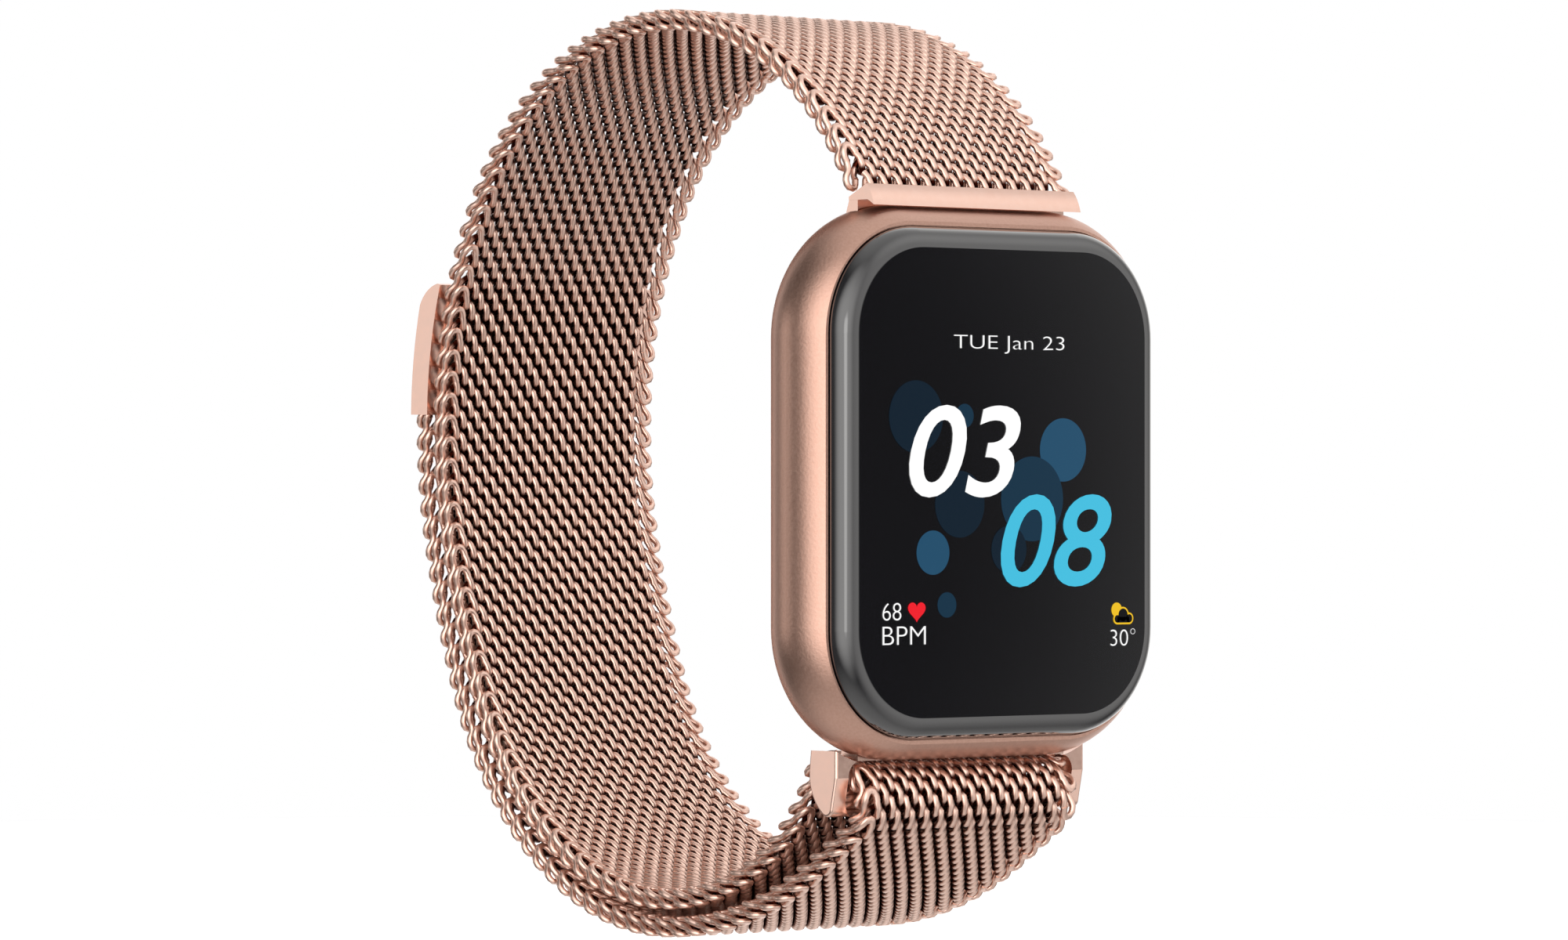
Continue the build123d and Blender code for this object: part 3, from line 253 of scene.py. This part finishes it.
# %% Metal finishes
FINISHES = {}
METALS = [   # CAD material, finish, pale and deep colour, grain, roughness, relief, wander
    # aluminium, bead blasted and coated: satin, with a grain of about a quarter millimetre
    ("rose_gold_blasted", "bead_blasted_rose_gold_case", "#dcb4a3", "#c79b89",
     0.22, 0.36, 0.012, 0.06),
    # steel, polished and plated: clear reflections with a slight bloom
    ("rose_gold_polished", "polished_rose_gold_steel", "#f2cfc0", "#ecc3b2",
     0.6, 0.24, 0.0005, 0.04),
    # steel wire, drawn, woven and tumbled
    ("rose_gold_mesh", "tumbled_rose_gold_wire", "#fddccc", "#f6cbb9", 0.35, 0.34, 0.002, 0.06),
    # plain stainless spring bars, screws and inserts
    ("steel", "turned_stainless_steel", "#cfcecb", "#bab9b6", 0.4, 0.28, 0.001, 0.05),
    ("spring_steel", "blued_spring_steel", "#a5a6a8", "#8c8d90", 0.3, 0.35, 0.001, 0.05),
    ("tray_metal", "stamped_aluminium_tray", "#b4b5b8", "#a3a4a8", 0.8, 0.38, 0.002, 0.05),
    ("gold_contact", "gold_plated_contact", "#e8c069", "#d9ac52", 0.3, 0.22, 0.001, 0.05),
    ("magnet", "nickel_plated_magnet", "#a9a9aa", "#929293", 0.5, 0.33, 0.001, 0.05),
    ("battery_foil", "aluminium_pouch_foil", "#a9abae", "#94969a", 1.2, 0.32, 0.01, 0.05)]
for cad_name, name, pale, deep, grain, rough, relief, wander in METALS:
    FINISHES[cad_name] = finish(name, pale, deep, grain, rough, 1.0, relief, wander)

# painted shade deep in the weave: dark brown where the wire lies far from the faces, bright on its
# crowns
wire_tree = FINISHES["rose_gold_mesh"].node_tree
wire_shader = next(n for n in wire_tree.nodes if n.type == "BSDF_PRINCIPLED")
bright = wire_shader.inputs["Base Color"].links[0].from_socket
burnish = add(wire_tree, "ShaderNodeAttribute", attribute_name="burnish").outputs["Fac"]
painted_shade_mix = add(wire_tree, "ShaderNodeMapRange", {"Value": burnish, "From Min": 0.60, "From Max": 0.90},
           interpolation_type="SMOOTHSTEP").outputs[0]
painted_shade_colour = add(wire_tree, "ShaderNodeMix", {0: painted_shade_mix, 6: linear("#42170d"), 7: bright},
                  data_type="RGBA").outputs[2]
wire_tree.links.new(painted_shade_colour, wire_shader.inputs["Base Color"])
print("metal finishes:", sorted(FINISHES))

# %% [markdown]
# ### Glass, plastics and the works inside
# The front glass is clear with black behind it, so what the eye gets is a deep black with
# a hard, clear gloss. The rest sits behind the glass or on the back of the case.

# %% Glass, plastic and inside finishes
FINISHES["cover_glass"] = finish("curved_cover_glass_over_black", "#07070b", "#050508", 9.0, 0.035,
                                 0.0, 0.0, 0.01, **{"IOR": 1.77, "Coat Weight": 1.0,
                                                    "Coat Roughness": 0.03})
FINISHES["sensor_glass"] = finish("smoked_sensor_window", "#101014", "#0a0a0d", 3.0, 0.06, 0.0,
                                  0.0, 0.02, **{"IOR": 1.5})
OTHERS = [   # CAD material, finish, pale and deep colour, grain, roughness, relief
    ("display_black", "laminated_display", "#0b0b0f", "#08080b", 2.0, 0.2, 0.0),
    ("rear_plastic", "moulded_black_rear_cover", "#1b1b1d", "#141416", 0.15, 0.45, 0.006),
    ("seal_rubber", "silicone_rubber_seal", "#1c1c1d", "#151516", 0.3, 0.65, 0.004),
    ("adhesive", "black_bonding_film", "#121213", "#0d0d0e", 0.5, 0.5, 0.0),
    ("board", "green_circuit_laminate", "#1f5a3a", "#174a2e", 0.4, 0.4, 0.004),
    ("flex", "polyimide_flex", "#b87a2c", "#a56a22", 0.5, 0.35, 0.0),
    ("led", "clear_light_source", "#c9cdbf", "#b5b9ab", 0.3, 0.15, 0.0)]
for cad_name, name, pale, deep, grain, rough, relief in OTHERS:
    FINISHES[cad_name] = finish(name, pale, deep, grain, rough, 0.0, relief)
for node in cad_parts.values():
    node.material_slots[0].material = FINISHES[node.material_slots[0].material.name]
print(len(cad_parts), "CAD parts finished")

# %% [markdown]
# ## The strap's run
# Seen from the side the strap is one line: out of the end cap at 12 o'clock, over the top,
# down the back, round the bottom, through the buckle at 6 o'clock, round its crossbar, and
# back along the outside to the clasp. It is made of straight legs and arcs that meet
# without a corner, with the same radii as the CAD strap. A list of legs is easier to read
# and to change than points, and the length up to each leg tells where a bend falls.

# %% Legs of the strap's middle line
START, HEADING = Vector((0, -23.35, 21.75)), 57.8     # end cap, and the direction it leaves at
LEGS = [                                              # (length, or radius and degrees turned)
    (2.4,), (25.7, -114.3), (34.8, -4.26),            # cap and over the top, to the upper bend
    (34.8, -29.24), (1.199,), (34.8, -11.565), (77.3, -9.769),    # down the back
    (26.6, -36.526), (22.8, -65.04), (15.9, -31.6),   # round the bottom, up to the buckle
    (1.9, 85.6), (1.8,), (2.4, 125.687), (5.441,),    # over and round the crossbar
    (33.0, 33.213), (24.95, 32.14), (28.75, 36.526),  # back under the bottom, to the first peel
    (79.45, 4.4), (79.45, 4.4),                       # two stretches of the tail that peel
    (79.45, 0.969), (36.95, 11.565), (1.199,), (36.95, 5.452)]    # up into the clasp
RUN_ON = 2.0                                          # straight on past both ends
SAMPLE = 0.2                                          # distance between points on the line


def trace(start, heading, legs):
    """Points every SAMPLE along the legs, and the length from the cap to each leg's end."""
    points, marks, length = [], [], 0.0
    angle = radians(heading)
    place = start - Vector((0, cos(angle), sin(angle))) * RUN_ON
    for leg in [(RUN_ON,)] + legs + [(RUN_ON,)]:
        reach_of = leg[0] if len(leg) == 1 else leg[0] * radians(abs(leg[1]))
        turn = 0.0 if len(leg) == 1 else radians(leg[1])
        count = max(1, round(reach_of / SAMPLE))
        for _ in range(count):
            points.append(place.copy())
            angle += turn / count / 2
            chord = reach_of / count if not turn else 2 * leg[0] * sin(abs(turn) / count / 2)
            place += Vector((0, cos(angle), sin(angle))) * chord
            angle += turn / count / 2
        length += reach_of
        marks.append(length - RUN_ON)
    return points + [place], marks


line_points, leg_ends = trace(START, HEADING, LEGS)
print("strap length", round(leg_ends[-2], 1), "mm;", len(line_points), "points on its line")

# %% [markdown]
# ## Weaving the strap
# Milanese mesh is a stack of flattened wire coils. Each coil runs across the strap and is
# screwed into the one before it, half a turn along, so every turn hooks two others. The
# ends of two neighbouring coils are bent together into an S at either edge. Geometry Nodes
# suit this, because one rule makes every coil. The tree first weaves the mesh flat: x across
# the strap, y along it and z through its thickness. It sweeps a round wire along every
# coil, rolls the weave flat between two faces, as the real strap is rolled, then wraps it
# along the strap's line and gives it its finish.

# %% Sizes of the weave
ROW = 0.89             # from one coil to the next, along the strap
TURN = 1.465           # from one turn of a coil to the next, across it
WIRE = 0.52            # diameter of the wire
SWAY = 0.92            # how far a turn reaches to either side of its coil's middle
DEPTH = 0.68           # how far a turn reaches towards either face of the strap
FACE = 0.80            # the woven strap is rolled flat at this distance from its middle
LEAN = 0.5             # how much earlier than a quarter turn every coil starts, radians
WIRE_SIDES = 8
CURL_STEPS = 20        # points in one curl
ARCH = 0.75            # above 0, a turn is steeper at its ends and rounder on its crown
TURNS = 13 + 1 / (2 * pi)
STEPS = 12             # points in one turn
FIRST_X = -TURNS * TURN / 2
COIL_POINTS = round(TURNS * STEPS) + 1
EDGE = -11.0 + WIRE / 2                                # middle of the outermost wire
print("coils across", round(-2 * FIRST_X, 2), "mm, curls out to", round(-EDGE + WIRE / 2, 2))

# %% The S curl that joins two coils at the edge
hook = [(FIRST_X, -sin(LEAN) * SWAY, -cos(LEAN) * DEPTH), (FIRST_X - 0.10, -0.86, -0.66),
        (FIRST_X - 0.45, -1.16, -0.70), (FIRST_X - 0.90, -1.02, -0.66),
        (EDGE, -0.60, -0.50), (EDGE + 0.06, -0.16, -0.26), (EDGE + 0.34, 0.12, -0.08)]
curl_points = hook + [(x, ROW - y, -z) for x, y, z in reversed(hook)]
curl_data = bpy.data.curves.new("edge_curl", "CURVE")
curl_data.dimensions = "3D"
curl_spline = curl_data.splines.new("NURBS")
curl_spline.points.add(len(curl_points) - 1)
for point, place in zip(curl_spline.points, curl_points):
    point.co = (*[v * MM for v in place], 1.0)
curl_spline.order_u = 3
curl_spline.use_endpoint_u = True
curl_spline.resolution_u = 2
curl = bpy.data.objects.new("edge_curl", curl_data)
scene.collection.objects.link(curl)
print("curl through", len(curl_points), "control points")

# %% Geometry Nodes: weave, roll flat, wrap
weave = bpy.data.node_groups.new("weave", "GeometryNodeTree")
weave.interface.new_socket("Line", in_out="INPUT", socket_type="NodeSocketGeometry")
INPUTS = [("First Coil", "NodeSocketInt", 0), ("Coils", "NodeSocketInt", 2),
          ("Row Pitch", "NodeSocketFloat", ROW * MM), ("Turn Pitch", "NodeSocketFloat", TURN * MM),
          ("Steps in a Turn", "NodeSocketInt", STEPS), ("Points in a Coil", "NodeSocketInt", 100),
          ("First X", "NodeSocketFloat", 0.0), ("Sway", "NodeSocketFloat", SWAY * MM),
          ("Depth", "NodeSocketFloat", DEPTH * MM), ("Arch", "NodeSocketFloat", ARCH),
          ("Face", "NodeSocketFloat", FACE * MM), ("Wire Radius", "NodeSocketFloat", 0.0002),
          ("Run On", "NodeSocketFloat", 0.0), ("Curl", "NodeSocketObject", None),
          ("First Curl", "NodeSocketInt", 0), ("Curls", "NodeSocketInt", 2),
          ("Finish", "NodeSocketMaterial", None)]
for name, kind, value in INPUTS:
    socket = weave.interface.new_socket(name, in_out="INPUT", socket_type=kind)
    if value is not None:
        socket.default_value = value
weave.interface.new_socket("Mesh", in_out="OUTPUT", socket_type="NodeSocketGeometry")
size = add(weave, "NodeGroupInput").outputs

# one point for every step of every coil
count = add(weave, "ShaderNodeMath", {0: size["Coils"], 1: size["Points in a Coil"]},
            operation="MULTIPLY").outputs[0]
cloud = add(weave, "GeometryNodePoints", {"Count": count}).outputs[0]
index = add(weave, "GeometryNodeInputIndex").outputs[0]
share = add(weave, "ShaderNodeMath", {0: index, 1: size["Points in a Coil"]}, operation="DIVIDE")
coil = add(weave, "ShaderNodeMath", {0: share.outputs[0]}, operation="FLOOR").outputs[0]
step = add(weave, "ShaderNodeMath", {0: index, 1: size["Points in a Coil"]},
           operation="MODULO").outputs[0]
number = add(weave, "ShaderNodeMath", {0: coil, 1: size["First Coil"]}, operation="ADD").outputs[0]
odd = add(weave, "ShaderNodeMath", {0: number, 1: 2.0}, operation="MODULO").outputs[0]
turn = add(weave, "ShaderNodeMath", {0: step, 1: size["Steps in a Turn"]},
           operation="DIVIDE").outputs[0]

# where that step is in the flat weave
x = add(weave, "ShaderNodeMath", {0: turn, 1: size["Turn Pitch"], 2: size["First X"]},
        operation="MULTIPLY_ADD").outputs[0]
begin = add(weave, "ShaderNodeMath", {0: odd, 1: pi, 2: -pi / 2 - LEAN},
            operation="MULTIPLY_ADD").outputs[0]
phase = add(weave, "ShaderNodeMath", {0: turn, 1: 2 * pi, 2: begin},
            operation="MULTIPLY_ADD").outputs[0]
middle = add(weave, "ShaderNodeMath", {0: number, 1: size["Row Pitch"]},
             operation="MULTIPLY").outputs[0]
swing = add(weave, "ShaderNodeMath", {0: phase}, operation="COSINE").outputs[0]
rise = add(weave, "ShaderNodeMath", {0: phase}, operation="SINE").outputs[0]
y = add(weave, "ShaderNodeMath", {0: swing, 1: size["Sway"], 2: middle},
        operation="MULTIPLY_ADD").outputs[0]
proud = add(weave, "ShaderNodeMath", {0: rise}, operation="ABSOLUTE").outputs[0]
arch = add(weave, "ShaderNodeMath", {0: proud, 1: size["Arch"]}, operation="POWER").outputs[0]
arch = add(weave, "ShaderNodeMath", {0: arch, 1: rise}, operation="MULTIPLY").outputs[0]
z = add(weave, "ShaderNodeMath", {0: arch, 1: size["Depth"]}, operation="MULTIPLY").outputs[0]
flat = add(weave, "ShaderNodeCombineXYZ", {0: x, 1: y, 2: z}).outputs[0]
laid = add(weave, "GeometryNodeSetPosition", {"Geometry": cloud, "Position": flat}).outputs[0]
coils = add(weave, "GeometryNodePointsToCurves", {"Points": laid, "Curve Group ID": coil,
                                                  "Weight": index}).outputs[0]

# a curl at both ends of every second coil, the right one turned half round
half = add(weave, "ShaderNodeMath", {0: index, 1: 2.0}, operation="MODULO").outputs[0]
pair = add(weave, "ShaderNodeMath", {0: index, 1: half}, operation="SUBTRACT").outputs[0]
pair_number = add(weave, "ShaderNodeMath", {0: pair, 1: size["First Curl"]},
                  operation="ADD").outputs[0]
pair_y = add(weave, "ShaderNodeMath", {0: pair_number, 1: size["Row Pitch"]},
             operation="MULTIPLY").outputs[0]
spot = add(weave, "ShaderNodeCombineXYZ", {1: pair_y}).outputs[0]
ends = add(weave, "GeometryNodePoints", {"Count": size["Curls"], "Position": spot}).outputs[0]
half_turn = add(weave, "ShaderNodeMath", {0: half, 1: pi}, operation="MULTIPLY").outputs[0]
facing = add(weave, "ShaderNodeCombineXYZ", {2: half_turn}).outputs[0]
one_curl = add(weave, "GeometryNodeObjectInfo", {"Object": size["Curl"]}).outputs["Geometry"]
curls = add(weave, "GeometryNodeInstanceOnPoints", {"Points": ends, "Instance": one_curl,
                                                    "Rotation": facing}).outputs[0]
curls = add(weave, "GeometryNodeRealizeInstances", {"Geometry": curls}).outputs[0]
curls = add(weave, "GeometryNodeResampleCurve", {"Curve": curls, "Count": CURL_STEPS}).outputs[0]
# mask for the painted shade: the crowns of the coils, which stand proud, stay bright, and so do the
# curls all over
wires = add(weave, "GeometryNodeJoinGeometry")
for part, bright in ((coils, proud), (curls, 1.0)):
    part = add(weave, "GeometryNodeStoreNamedAttribute",
               {"Geometry": part, "Name": "burnish", "Value": bright},
               data_type="FLOAT", domain="POINT").outputs[0]
    weave.links.new(part, wires.inputs[0])

# sweep the round wire along every line, and roll the flat weave between its two faces
section = add(weave, "GeometryNodeCurvePrimitiveCircle", {"Resolution": WIRE_SIDES,
                                                          "Radius": size["Wire Radius"]})
mesh = add(weave, "GeometryNodeCurveToMesh", {"Curve": wires.outputs[0],
                                              "Profile Curve": section.outputs[0],
                                              "Fill Caps": True}).outputs[0]
where = add(weave, "GeometryNodeInputPosition").outputs[0]
axes = add(weave, "ShaderNodeSeparateXYZ", {0: where}).outputs
under = add(weave, "ShaderNodeMath", {0: axes[2], 1: size["Face"]}, operation="MINIMUM").outputs[0]
back = add(weave, "ShaderNodeMath", {0: size["Face"], 1: -1.0}, operation="MULTIPLY").outputs[0]
rolled = add(weave, "ShaderNodeMath", {0: under, 1: back}, operation="MAXIMUM").outputs[0]

# wrap: y becomes the distance along the strap's line, z the distance out from it
distance = add(weave, "ShaderNodeMath", {0: axes[1], 1: size["Run On"]},
               operation="ADD").outputs[0]
line = add(weave, "GeometryNodeMeshToCurve", {"Mesh": size["Line"]}).outputs[0]
sample = add(weave, "GeometryNodeSampleCurve", {"Curves": line, "Length": distance},
             mode="LENGTH").outputs
outward = add(weave, "ShaderNodeVectorMath", {0: (1, 0, 0), 1: sample["Tangent"]},
              operation="CROSS_PRODUCT").outputs[0]
lifted = add(weave, "ShaderNodeVectorMath", {0: outward, "Scale": rolled},
             operation="SCALE").outputs[0]
across = add(weave, "ShaderNodeCombineXYZ", {0: axes[0]}).outputs[0]
beside = add(weave, "ShaderNodeVectorMath", {0: sample["Position"], 1: across},
             operation="ADD").outputs[0]
wrapped = add(weave, "ShaderNodeVectorMath", {0: beside, 1: lifted}, operation="ADD").outputs[0]
mesh = add(weave, "GeometryNodeSetPosition", {"Geometry": mesh, "Position": wrapped}).outputs[0]
mesh = add(weave, "GeometryNodeSetShadeSmooth", {"Geometry": mesh}).outputs[0]
mesh = add(weave, "GeometryNodeRealizeInstances", {"Geometry": mesh}).outputs[0]
mesh = add(weave, "GeometryNodeSetMaterial", {"Geometry": mesh, "Material": size["Finish"]})
add(weave, "NodeGroupOutput", {"Mesh": mesh.outputs[0]})
print("weave tree has", len(weave.nodes), "nodes")

# %% [markdown]
# ## Cutting the strap into pieces
# The strap bends where the loop swings on its spring bars, and its tail peels away from
# the back in three stretches. The weave is one run of numbered coils, and each piece takes
# its share of the numbers, so no row is missing or doubled where two pieces meet. A piece
# that crosses a bend stays where it was woven and rides on no body.

# %% Weaving one piece
def coil_at(distance):
    """The even coil number nearest to this distance from the cap."""
    return 2 * round(distance / ROW / 2)


def weave_piece(name, first, last):
    """The coils from first up to last as one plain mesh."""
    line_mesh = bpy.data.meshes.new(name)
    line_mesh.from_pydata([p * MM for p in line_points],
                          [(i, i + 1) for i in range(len(line_points) - 1)], [])
    maker = bpy.data.objects.new(name + "_maker", line_mesh)
    scene.collection.objects.link(maker)
    modifier = maker.modifiers.new("weave", "NODES")
    modifier.node_group = weave
    first_curl = first + first % 2
    values = {"First Coil": first, "Coils": last - first, "Row Pitch": ROW * MM,
              "First Curl": first_curl, "Curls": last - first_curl,
              "Turn Pitch": TURN * MM, "Steps in a Turn": STEPS, "Points in a Coil": COIL_POINTS,
              "First X": FIRST_X * MM, "Sway": SWAY * MM, "Depth": DEPTH * MM,
              "Arch": ARCH, "Face": FACE * MM,
              "Wire Radius": WIRE / 2 * MM, "Run On": RUN_ON * MM, "Curl": curl,
              "Finish": FINISHES["rose_gold_mesh"]}
    for item in weave.interface.items_tree:
        if item.name in values:
            modifier[item.identifier] = values[item.name]
    evaluated = maker.evaluated_get(bpy.context.evaluated_depsgraph_get())
    made = bpy.data.meshes.new_from_object(evaluated)
    maker.modifiers.clear()
    bpy.data.objects.remove(maker)
    piece = bpy.data.objects.new(name, made)
    scene.collection.objects.link(piece)
    triangles = sum(len(p.vertices) - 2 for p in made.polygons)
    print(name, "coils", first, "to", last, "and", triangles, "triangles")
    return piece


def line_at(distance):
    """Place and direction of the strap's line at this distance from the cap, in metres."""
    i = min(len(line_points) - 2, max(0, int((distance + RUN_ON) / SAMPLE)))
    lengths = 0.0
    for a, b in zip(line_points, line_points[1:]):
        lengths += (b - a).length
        if lengths >= distance + RUN_ON:
            return b * MM, (b - a).normalized()
    return line_points[-1] * MM, (line_points[-1] - line_points[-2]).normalized()


# %% The pieces, from the cap to the clasp
UPPER_BEND, LOWER_BEND, BUCKLE = leg_ends[3], leg_ends[7], leg_ends[10]
PEELS = leg_ends[17:20]
TAIL_END = leg_ends[23]
BEND = 3.0             # half the length of mesh that shares a bend
PEEL = 1.6             # half the length that shares a peeling bend
EASE = 2.0             # half the length over which the tail crosses the lower bend
CUTS = [                # name, from, to, the bend it crosses with its two bodies, CAD parts
    ("weave_upper", 0.4, UPPER_BEND + BEND, (UPPER_BEND, BEND, "strap_top", "strap_back"),
     ["mesh_upper"]),
    ("weave_back", UPPER_BEND + BEND, LOWER_BEND - BEND, "strap_back", ["mesh_back"]),
    ("weave_lower", LOWER_BEND - BEND, BUCKLE,
     (LOWER_BEND, BEND, "strap_back", "strap_bottom"), ["mesh_lower"]),
    ("weave_fold", BUCKLE, PEELS[0] - PEEL - 2 * EASE, "strap_bottom", ["mesh_lower"]),
    ("weave_tail_bend", PEELS[0] - PEEL - 2 * EASE, PEELS[0] - PEEL,
     (PEELS[0] - PEEL - EASE, EASE, "strap_bottom", "strap_back"), ["mesh_lower"]),
    ("weave_tail_low", PEELS[0] - PEEL, PEELS[1] - PEEL,
     (PEELS[0], PEEL, "strap_back", "tail_low"), ["tail_mesh_1"]),
    ("weave_tail_middle", PEELS[1] - PEEL, PEELS[2] - PEEL,
     (PEELS[1], PEEL, "tail_low", "tail_mid"), ["tail_mesh_2"]),
    ("weave_tail_top", PEELS[2] - PEEL, TAIL_END,
     (PEELS[2], PEEL, "tail_mid", "clasp"), ["tail_mesh_3"])]
for name, begin_at, end_at, motion, stands_for in CUTS:
    # coil 0 would stand inside the cap, so the weave starts with coil 1
    piece = weave_piece(name, max(1, coil_at(begin_at)), coil_at(end_at))
    if isinstance(motion, str):
        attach(piece, motion)
    else:
        bend_at, half_length, before, after = motion
        place, heading = line_at(bend_at)
        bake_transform(piece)
    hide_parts(*stands_for)
bpy.data.objects.remove(curl)

# %% [markdown]
# ## The display
# The picture on the screen is light under the glass. Each mark is a thin mesh lying just on
# the glass's front, with a glossy, softly glowing material, so the glass still seems to
# cover it. The digits use Blender's own font, thickened, narrowed and leaned over. The discs
# behind them are a plain pattern of this model's own.

# %% Screen helpers
GLASS_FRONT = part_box("front_glass")[0].y
LAYER = 0.012          # each layer of marks lies this much further out, millimetres


def glow(name, hex_colour, light=1.0):
    """A lit screen colour: it glows, with the glass's gloss over it and a faint pixel grain."""
    made = finish(name, "#0a0a0c", "#060608", 0.12, 0.05, 0.0, 0.0, 0.01,
                  **{"Emission Color": linear(hex_colour), "Emission Strength": light})
    return made


WHITE_GLOW = glow("screen_white", "#ffffff", 1.0)
BLUE_GLOW = glow("screen_blue", "#45bfe0", 1.0)
RED_GLOW = glow("screen_red", "#f0202c", 1.0)
YELLOW_GLOW = glow("screen_yellow", "#f0c020", 1.0)
BLACK_GLOW = glow("screen_black", "#020203", 1.0)
DISC_GLOWS = [glow("screen_disc_bright", "#224e6b"), glow("screen_disc_middle", "#133246"),
              glow("screen_disc_dim", "#0c1f2d")]


def on_screen(name, data, material, layer):
    """Turns x and y of a flat mesh into x and z on the glass, and makes it ride on the case."""
    out = GLASS_FRONT - LAYER * layer * MM
    data.transform(Matrix(((MM, 0, 0, 0), (0, 0, -MM, out), (0, MM, 0, 0), (0, 0, 0, 1))))
    data.materials.clear()
    data.materials.append(material)
    mark = bpy.data.objects.new(name, data)
    scene.collection.objects.link(mark)
    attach(mark, "case")
    return mark


def write(name, text, left, bottom, width, height, material, layer=4, weight=0.0, lean=0.0):
    """Text fitted into a box on the screen, millimetres from the middle of the display."""
    font = bpy.data.curves.new(name, "FONT")
    font.body, font.offset, font.shear = text, weight, lean
    font.resolution_u = 6
    holder = bpy.data.objects.new(name, font)
    scene.collection.objects.link(holder)
    data = bpy.data.meshes.new_from_object(
        holder.evaluated_get(bpy.context.evaluated_depsgraph_get()))
    bpy.data.objects.remove(holder)
    low = [min(v.co[i] for v in data.vertices) for i in (0, 1)]
    high = [max(v.co[i] for v in data.vertices) for i in (0, 1)]
    scale = [width / (high[0] - low[0]), height / (high[1] - low[1])]
    for v in data.vertices:
        v.co = (left + (v.co.x - low[0]) * scale[0], bottom + (v.co.y - low[1]) * scale[1], 0)
    return on_screen(name, data, material, layer)


def outline(name, points, material, layer):
    """A flat filled shape with this outline."""
    data = bpy.data.meshes.new(name)
    data.from_pydata([(a, b, 0) for a, b in points], [], [tuple(range(len(points)))])
    return on_screen(name, data, material, layer)


def ring_points(x, y, radius, count=48):
    return [(x + radius * cos(2 * pi * i / count), y + radius * sin(2 * pi * i / count))
            for i in range(count)]


# %% Digits, read-outs and icons
THIN = -0.016          # makes the strokes of the small read-outs thinner
write("hour_digits", "03", -9.7, -1.1, 11.3, 6.9, WHITE_GLOW, weight=0.012, lean=0.22)
write("minute_digits", "08", -0.45, -7.85, 11.5, 7.0, BLUE_GLOW, weight=0.012, lean=0.22)
write("date_line", "TUE Jan 23", -5.2, 9.7, 11.3, 1.35, WHITE_GLOW, weight=THIN)
write("pulse_number", "68", -12.35, -10.2, 1.85, 1.3, WHITE_GLOW, weight=THIN)
write("pulse_unit", "BPM", -12.35, -12.0, 4.3, 1.35, WHITE_GLOW, weight=THIN)
write("outside_degrees", "30°", 10.95, -12.4, 2.6, 1.3, WHITE_GLOW, weight=THIN)
heart = []
for i in range(40):
    t = 2 * pi * i / 40
    heart.append((-8.95 + 0.055 * 16 * sin(t) ** 3,
                  -9.5 + 0.052 * (13 * cos(t) - 5 * cos(2 * t) - 2 * cos(3 * t) - cos(4 * t))))
outline("heart_icon", heart, RED_GLOW, 4)
outline("sun_icon", ring_points(11.6, -9.65, 0.55), YELLOW_GLOW, 3)
for name, grow, material, layer in (("cloud_edge", 0.0, YELLOW_GLOW, 4),
                                    ("cloud_inside", -0.13, BLACK_GLOW, 5)):
    cloud_mesh = bmesh.new()
    for x, y, radius in ((11.65, -10.35, 0.42), (12.25, -10.05, 0.62), (12.9, -10.32, 0.45)):
        cloud_mesh.faces.new([cloud_mesh.verts.new((a, b, 0))
                              for a, b in ring_points(x, y, radius + grow, 32)])
    base = [(11.65, -10.77 - grow), (12.9, -10.77 - grow), (12.9, -10.2), (11.65, -10.2)]
    cloud_mesh.faces.new([cloud_mesh.verts.new((a, b, 0)) for a, b in base])
    cloud_data = bpy.data.meshes.new(name)
    cloud_mesh.to_mesh(cloud_data)
    cloud_mesh.free()
    on_screen(name, cloud_data, material, layer)

# %% Discs behind the digits
DISCS = [(6.0, 2.5, 2.4, 0), (2.8, -1.2, 3.2, 1), (-7.3, -5.2, 1.65, 0), (-5.9, -9.1, 0.95, 1),
         (-4.1, 5.0, 0.9, 1), (-4.6, -1.6, 2.5, 2), (0.4, -5.0, 1.8, 2), (-9.0, 4.9, 2.7, 2)]
for i, (x, y, radius, tone) in enumerate(DISCS):
    outline(f"disc_{i + 1}", ring_points(x, y, radius), DISC_GLOWS[tone], 1 + 0.2 * i)
print(len(DISCS), "discs on the screen")
